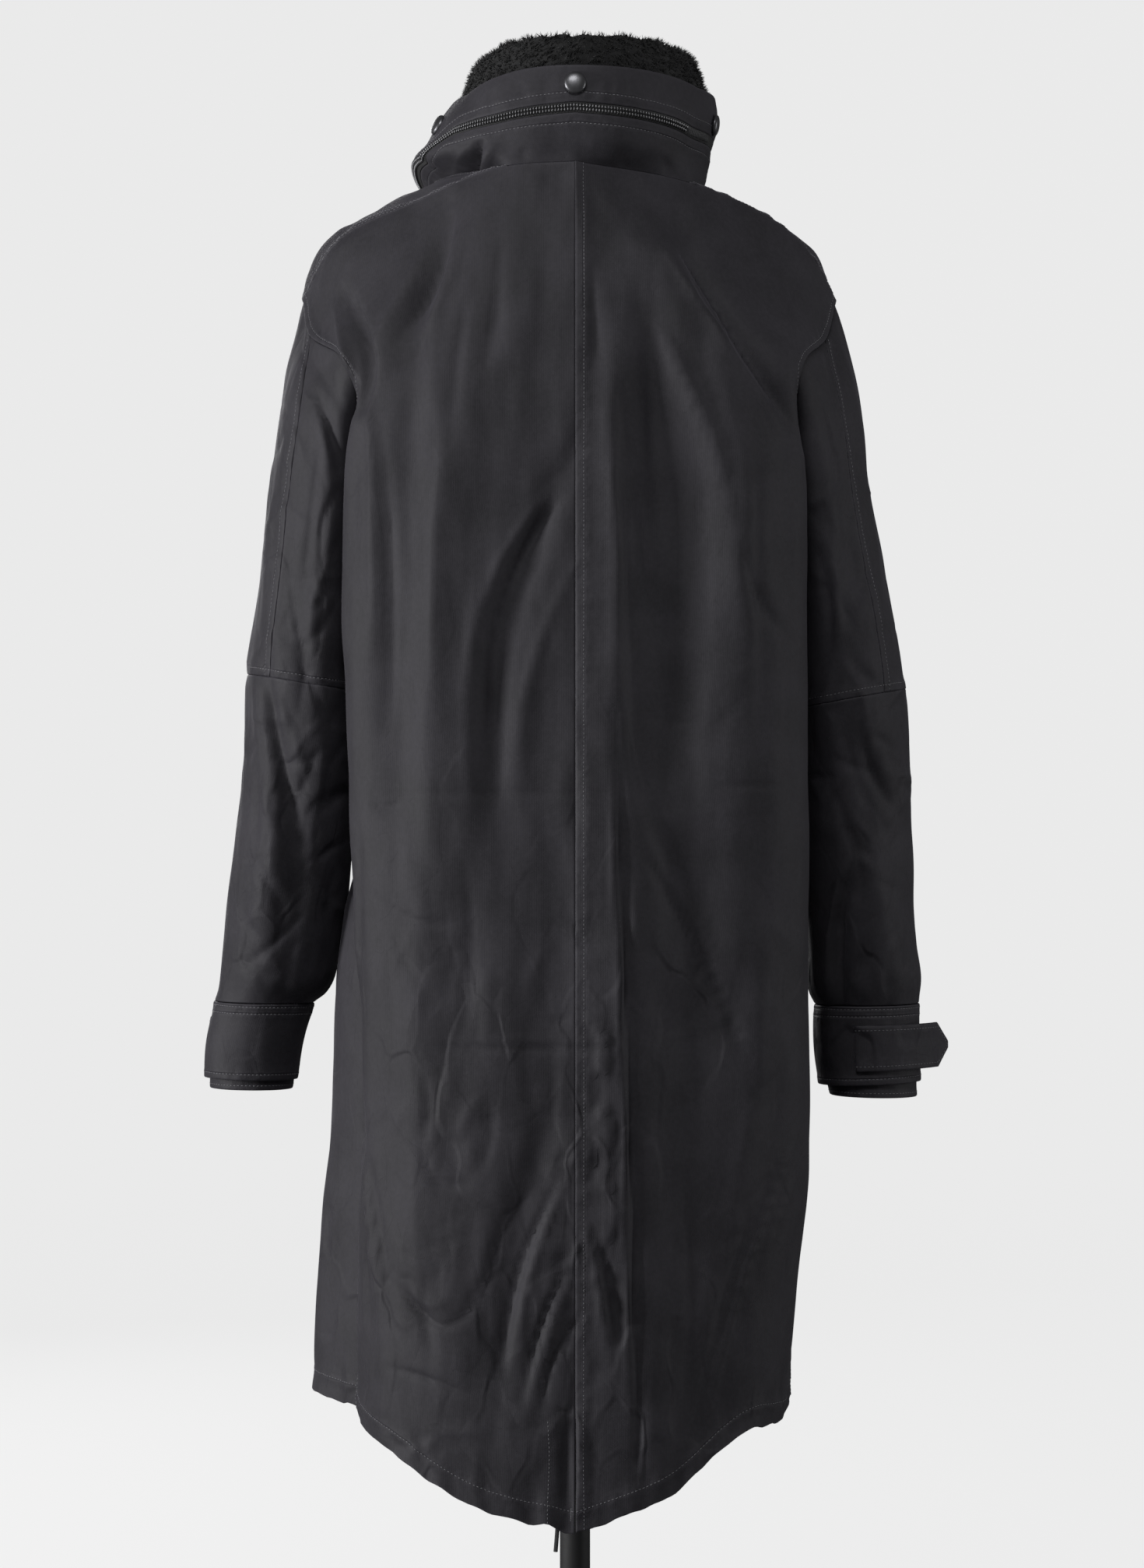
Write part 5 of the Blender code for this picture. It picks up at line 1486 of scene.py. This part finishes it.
def build_zip(tape_look, tooth_look):
    end = 180 - degrees_of(COLLAR_END)
    angles = np.linspace(-end, end, 260)
    heights, middle = collar_heights(angles), zip_shares(angles)
    tape = ZIP_WIDTH / 2 / heights
    rows = np.linspace(0, 1, TAPE_ROWS)
    cloth = Cloth("collar_zip", collar_grid(angles, middle - tape, middle + tape, rows))
    sunk = cloth.points - cloth.out * TAPE_SUNK
    points, faces, uv = shell(cloth, sunk, TAPE)
    add_piece("zip_tape", points, faces, tape_look, ["collar_zip"], uv)
    path, ways = sunk[TAPE_ROWS // 2], cloth.out[TAPE_ROWS // 2]
    side = unit(np.cross(ways, np.gradient(path, axis=0)))
    chain, ribs = angles < TEETH_END, (angles > TEETH_END) & (angles < RIBS_END)
    rows_of_teeth = []
    for first, shift in enumerate((-TOOTH_SHIFT, TOOTH_SHIFT)):
        row = resampled((path + side * shift)[chain], ways[chain], TOOTH_PITCH / 2)
        centre, along, out = (values[first::2] for values in row)
        rows_of_teeth.append((centre + out, along, out))
    repeat_along("zip_teeth", rows_of_teeth, TOOTH_SIZE, tooth_look, "zip", bead_shape(4, 4))
    centre, along, out = resampled(path[ribs], ways[ribs], RIB_PITCH)
    pale = plain_cloth("zip_tape_end", (0.045, 0.045, 0.048), (0.11, 0.11, 0.116), 0.6, 0.0008)
    repeat_along("zip_tape_ribs", [(centre + out * RIB_LIFT, along, out)], RIB_SIZE, pale, "zip")


# Pile lining

HAIR_COUNT = 36000
HAIR_LENGTH, HAIR_RADIUS = 4.6, 0.42
HAIR_SWIRL, HAIR_TANGLE, SWIRL_SIZE = 1.1, 0.45, 5
PILE_LUMP, PILE_LUMP_RISE = 10.0, 2.6
PILE_SUNK = 2.4  # how far its base lies under the pile's face
PILE_END = 0.7  # share of the collar's own distance from the centre front


def pile_grid():
    """The pile's face as closed sections, by (angle, place round the section, xyz)."""
    end = 180 - degrees_of(COLLAR_END * PILE_END)
    angles = np.linspace(-end, end, 220)
    turn = np.radians(angles)
    inwards = np.stack([-np.sin(turn), np.cos(turn), np.zeros(len(turn))], axis=1)
    rise_scale = 1 + PILE_SIDE_RISE * np.sin(turn) ** 2
    lean = 1 + PILE_SIDE_LEAN * np.sin(turn) ** 2
    up = np.array([0, 0, 1.0])

    def face(share, depth):
        return collar_points(angles, np.full((1, len(angles)), share))[0] + inwards * depth

    keys = [face(share, depth) for share, depth in PILE_FACE]
    top = collar_points(angles, np.ones((1, len(angles))))[0]
    for rise, depth in PILE_ROLL:
        keys.append(top + inwards * (depth * lean)[:, None] + up * (rise * rise_scale)[:, None])
    keys += [face(share, depth + PILE_DEPTH) for share, depth in reversed(PILE_FACE)]
    keys.append(keys[0])
    places = np.linspace(0, len(keys) - 1, 4 * (len(keys) - 1) + 1)[:-1]
    return through(np.array(keys), places).transpose(1, 0, 2)


def build_pile(look):
    points = pile_grid()
    middle = points.mean(axis=1, keepdims=True)
    out = Cloth("pile", points, 1, True).out
    out *= np.sign(((points - middle) * out).sum(axis=-1, keepdims=True))
    lumps = rumple(points / PILE_LUMP) + 0.5 * rumple(points / (PILE_LUMP / 2))
    points = points - out * (PILE_SUNK - np.clip(lumps, -1, 1)[..., None] * PILE_LUMP_RISE * 0.5)
    made = closed_rings("pile_base", points, look, ["collar_pile"])
    random = np.random.default_rng(7)
    rows, columns = points.shape[:2]
    weights = np.linalg.norm(np.roll(points, -1, axis=1) - points, axis=-1)
    weights[:, -5:] = 0
    spots = random.choice(rows * columns, HAIR_COUNT, p=(weights / weights.sum()).ravel())
    r, c = spots // columns, spots % columns
    n, m = np.minimum(r + 1, rows - 1), (c + 1) % columns
    f, g = random.random((2, HAIR_COUNT, 1))
    seat = points[r, c] * (1 - f) * (1 - g) + points[n, c] * f * (1 - g)
    seat += points[r, m] * (1 - f) * g + points[n, m] * f * g
    swirl = np.stack([rumple(seat / SWIRL_SIZE + 40 * k) for k in range(3)], axis=1)
    tangle = unit(random.normal(size=(HAIR_COUNT, 3)))
    ways = unit(out[r, c] + HAIR_SWIRL * swirl + HAIR_TANGLE * tangle)
    hairs = [(seat, unit(np.cross(ways, tangle)), ways)]
    hair = repeat_along("pile_hair", hairs, (HAIR_LENGTH, HAIR_RADIUS, 1), look, "pile", hair_shape)


def hair_shape(graph, source):
    """One tapered tuft of hair, standing along Z."""
    sizes = {"Vertices": 3, "Radius Top": 0.0, "Radius Bottom": source["Width"], "Depth": source["Length"]}
    return graph.add("GeometryNodeMeshCone", sizes).outputs["Mesh"]


# Hard pieces, form and stand


def closed_rings(name, rings, look, replaces=()):
    """A closed solid through rings of points, by (ring, point, xyz), with a fan over each end."""
    count, size = rings.shape[:2]
    faces = grid_quads(count, size, True)[0].tolist()
    points = np.concatenate([rings.reshape(-1, 3), rings[[0, -1]].mean(axis=1)])
    low, high = count * size, count * size + 1
    last = low - size
    for k in range(size):
        n = (k + 1) % size
        faces += [[n, k, low], [last + k, last + n, high]]
    a, b, c = points[faces[size * (count // 2)][:3]]
    if np.dot(np.cross(b - a, c - a), a - rings[count // 2].mean(axis=0)) < 0:
        faces = [face[::-1] for face in faces]
    return add_piece(name, points, faces, look, replaces)


def lathed(profile, sides, centre=(0, 0, 0), axis=(0, 0, 1)):
    """Rings round an axis from a profile of (radius, height)."""
    turn = np.linspace(0, 2 * pi, sides + 1)[:-1]
    profile = np.array(profile, float)[:, None]
    flat = np.stack([profile[..., 0] * np.cos(turn), profile[..., 0] * np.sin(turn),
                     profile[..., 1] * np.ones(sides)], axis=-1)
    turned = np.array(Vector(axis).to_track_quat("Z", "Y").to_matrix())
    return flat @ turned.T + np.asarray(centre, float)


SNAP_DOME = [(8.7 * cos(radians(a)), 1.1 + 3.0 * sin(radians(a))) for a in range(4, 90, 8)]
SNAP_CAP = [(0.4, -0.5), (7.8, -0.5), (8.7, -0.2), (9.0, 0.3), (9.0, 0.8), *SNAP_DOME]
SNAP_MIDDLE = 1.8  # height of a stud's middle over its seat
COLLAR_SNAPS = {"centre": (0, 0.80), "left": (-70, 0.66), "right": (84, 0.66)}


def build_snaps(look, fly):
    for name, (angle, share) in COLLAR_SNAPS.items():
        turns = np.array([angle - 1.0, angle, angle + 1.0])
        patch = collar_points(turns, np.array([[share - 0.03], [share], [share + 0.03]]) * np.ones(3))
        add_snap(f"collar_snap_{name}", Cloth("patch", patch).out[1, 1], look)
    for k in range(5):
        name = f"fly_snap_{k + 1}"
        gaps = np.linalg.norm(fly.points - box_middle(name), axis=-1)
        add_snap(name, fly.out[np.unravel_index(gaps.argmin(), gaps.shape)], look)


def box_middle(name):
    low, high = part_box(name)
    return np.array((low + high) / 2) / MM


def add_snap(name, way, look):
    cap = lathed(SNAP_CAP, 32, box_middle(name) - way * SNAP_MIDDLE, way)
    closed_rings(name + "_cap", cap, look, [name])


def build_form(look):
    """The form's cover, just inside its solid, closed below and domed above."""
    turn = np.linspace(0, 2 * pi, FORM_SIDES + 1)[:-1]
    z, half_width, back, front = np.array(FORM_SECTIONS, float).T[..., None]
    width = (half_width - FORM_INSET) * np.where(turn < pi, FORM_RIGHT_SHARE, 1)
    half = (front - back) / 2 - FORM_INSET
    deep = (back + front) / 2 - half * np.cos(turn)
    rings = np.stack([width * np.sin(turn), deep, z * np.ones(FORM_SIDES)], axis=-1)
    rings = through(rings, spread([8] * (len(FORM_SECTIONS) - 1)))
    low = [rings[:1] * (share, share, 1) for share in (0.3, 0.7, 0.95)]
    high = [rings[-1:] * (share, share, 1) + (0, 0, rise) for share, rise in FORM_DOME]
    closed_rings("form_cover", np.concatenate([*low, rings, *high]), look, ["dress_form"])


def build_stand(look):
    low, high = BASE_HEIGHT + STAND_GAP, FORM_SECTIONS[0][0] - STAND_GAP
    pole = ((0.5, low), (POLE_RADIUS, low), (POLE_RADIUS, 300), (POLE_RADIUS, high), (0.5, high))
    closed_rings("pole_tube", lathed(pole, 48), look, ["pole"])
    edge = BASE_RADIUS
    rim = [(edge - 3, 0), (edge - 0.8, 0.6), (edge, 2.5), (edge, 8), (edge - 0.8, 10.4), (edge - 3, 11.6)]
    base = [(1, 0), *rim, (edge - 20, 12.6), (40, 13.4), (26, 13.8), (14, 14), (1, 14)]
    closed_rings("base_plate", lathed(base, 96), look, ["base"])


def build_cord(look):
    """The free end of the hem drawcord, from inside the back hem down past its edge."""
    curve = bpy.data.curves.new("hem_drawcord", "CURVE")
    curve.dimensions = "3D"
    curve.bevel_depth = CORD_DIAMETER / 2 * MM
    curve.bevel_resolution = 4
    curve.use_fill_caps = True
    route = np.array(CORD_ROUTE, float)[:, None]
    line = through(route, np.linspace(0, len(route) - 1, 19))[:, 0] * MM
    run = curve.splines.new("POLY")
    run.points.add(len(line) - 1)
    for point, at in zip(run.points, line):
        point.co = (*at, 1)
    curve.materials.append(look)
    made = placed(link(bpy.data.objects.new("hem_drawcord", curve)), ["hem_cord"])


def link(made):
    COAT.objects.link(made)
    return made


# Camera, light and backdrop, in metres

CAMERA_PLACE = (-0.0025, -3.2, 1.005)
FOCAL_LENGTH = 88.8
LIGHTS = (
    # name, place, target, size, power
    ("key", (-3.2, -1.05, 1.0), (0, 0, 0.95), (0.7, 1.4), 96),
    ("fill", (3.2, -0.5, 1.1), (0.2, 0, 1.0), (0.8, 1.6), 19),
    ("front_key", (-1.3, 3.3, 1.9), (0, 0, 1.0), (1.4, 1.8), 30),
    ("top", (-0.4, -2.3, 3.1), (0, 0, 1.4), (1.4, 0.9), 32),
)


def build_camera():
    data = bpy.data.cameras.new("camera")
    data.lens, data.sensor_width = FOCAL_LENGTH, 36.0
    camera = bpy.data.objects.new("camera", data)
    camera.location = CAMERA_PLACE
    camera.rotation_euler = (pi / 2, 0, 0)
    scene.collection.objects.link(camera)
    scene.camera = camera


def add_light(name, place, target, size, power):
    data = bpy.data.lights.new(name, "AREA")
    data.shape = "RECTANGLE"
    data.size, data.size_y = size
    data.energy = power
    lamp = bpy.data.objects.new(name, data)
    lamp.location = place
    lamp.rotation_euler = (Vector(target) - Vector(place)).to_track_quat("-Z", "Y").to_euler()
    scene.collection.objects.link(lamp)


def build_studio(look):
    """A pale round floor that sweeps up into a wall all round, and soft light with its key on the left."""
    arc = np.linspace(0, pi / 2, 16)
    profile = [(0.02, -1), (3000, -1), (7500, -1)]
    profile += [(7500 + 3000 * sin(a), -1 + 3000 * (1 - cos(a))) for a in arc[1:]]
    profile += [(10500, 6000), (10500, 9000)]
    rings = lathed(profile, 96)
    quads = grid_quads(len(rings), 96, True)[0]
    mesh = bpy.data.meshes.new("backdrop")
    mesh.from_pydata((rings.reshape(-1, 3) * MM).tolist(), [], quads.tolist())
    mesh.shade_smooth()
    mesh.materials.append(look)
    bowl = bpy.data.objects.new("backdrop", mesh)
    scene.collection.objects.link(bowl)
    bowl.visible_diffuse = False
    bowl.visible_glossy = False
    for row in LIGHTS:
        add_light(*row)
    world = bpy.data.worlds.new("studio")
    world.use_nodes = True
    world.node_tree.nodes["Background"].inputs["Color"].default_value = (1, 1, 1, 1)
    world.node_tree.nodes["Background"].inputs["Strength"].default_value = 0.08
    scene.world = world
    scene.view_settings.view_transform = "Standard"


def backdrop_look():
    look, graph, shader = new_look("pale_backdrop", Roughness=0.9)
    shader.inputs["Base Color"].default_value = (0.10, 0.10, 0.10, 1)
    place = graph.add("ShaderNodeTexCoord").outputs["Object"]
    radius = graph.add("ShaderNodeVectorMath", {0: place}, operation="LENGTH").outputs["Value"]
    far = graph.ramp(radius, 1.5, 8.0)
    graph.feed(shader.inputs["Emission Color"], graph.mix(far, (0.79, 0.79, 0.79), (0.808, 0.808, 0.808)))
    shader.inputs["Emission Strength"].default_value = 1.0
    return look


scene = bpy.context.scene
COAT = bpy.data.collections.new("rain_parka")
scene.collection.children.link(COAT)
build_camera()
build_cord(plain_cloth("braided_cord", (0.022, 0.022, 0.024), (0.05, 0.05, 0.054), 0.7, 0.0012))
SHELL = shell_cloth()
DARK_TAPE = plain_cloth("zip_tape", (0.010, 0.010, 0.011), (0.022, 0.022, 0.024), 0.7, 0.0008)
TEETH = hard_look("zip_teeth", (0.15, 0.15, 0.156), (0.27, 0.27, 0.28), 0.30, 0.8)
SNAP = hard_look("snap_cap", (0.10, 0.10, 0.108), (0.17, 0.17, 0.18), 0.30, 0.85, 0.2)
PILE = pile_fibre()
build_body(SHELL)
FLY = build_fly(SHELL)
for SIDE in SIDES:
    build_sleeve(SIDE, SHELL)
    build_cuffs(SIDE, SHELL)
    build_strap(SIDE, SHELL)
build_collar(SHELL)
build_zip(DARK_TAPE, TEETH)
build_pile(PILE)
build_snaps(SNAP, FLY)
repeat_along("stitches", STITCHES, STITCH_SIZE, thread_look(), "shell")
build_form(plain_cloth("form_linen", (0.50, 0.47, 0.42), (0.60, 0.57, 0.52), 0.8, 0.0012))
build_stand(hard_look("stand_paint", (0.011, 0.011, 0.012), (0.017, 0.017, 0.018), 0.62, 0.0))
build_studio(backdrop_look())
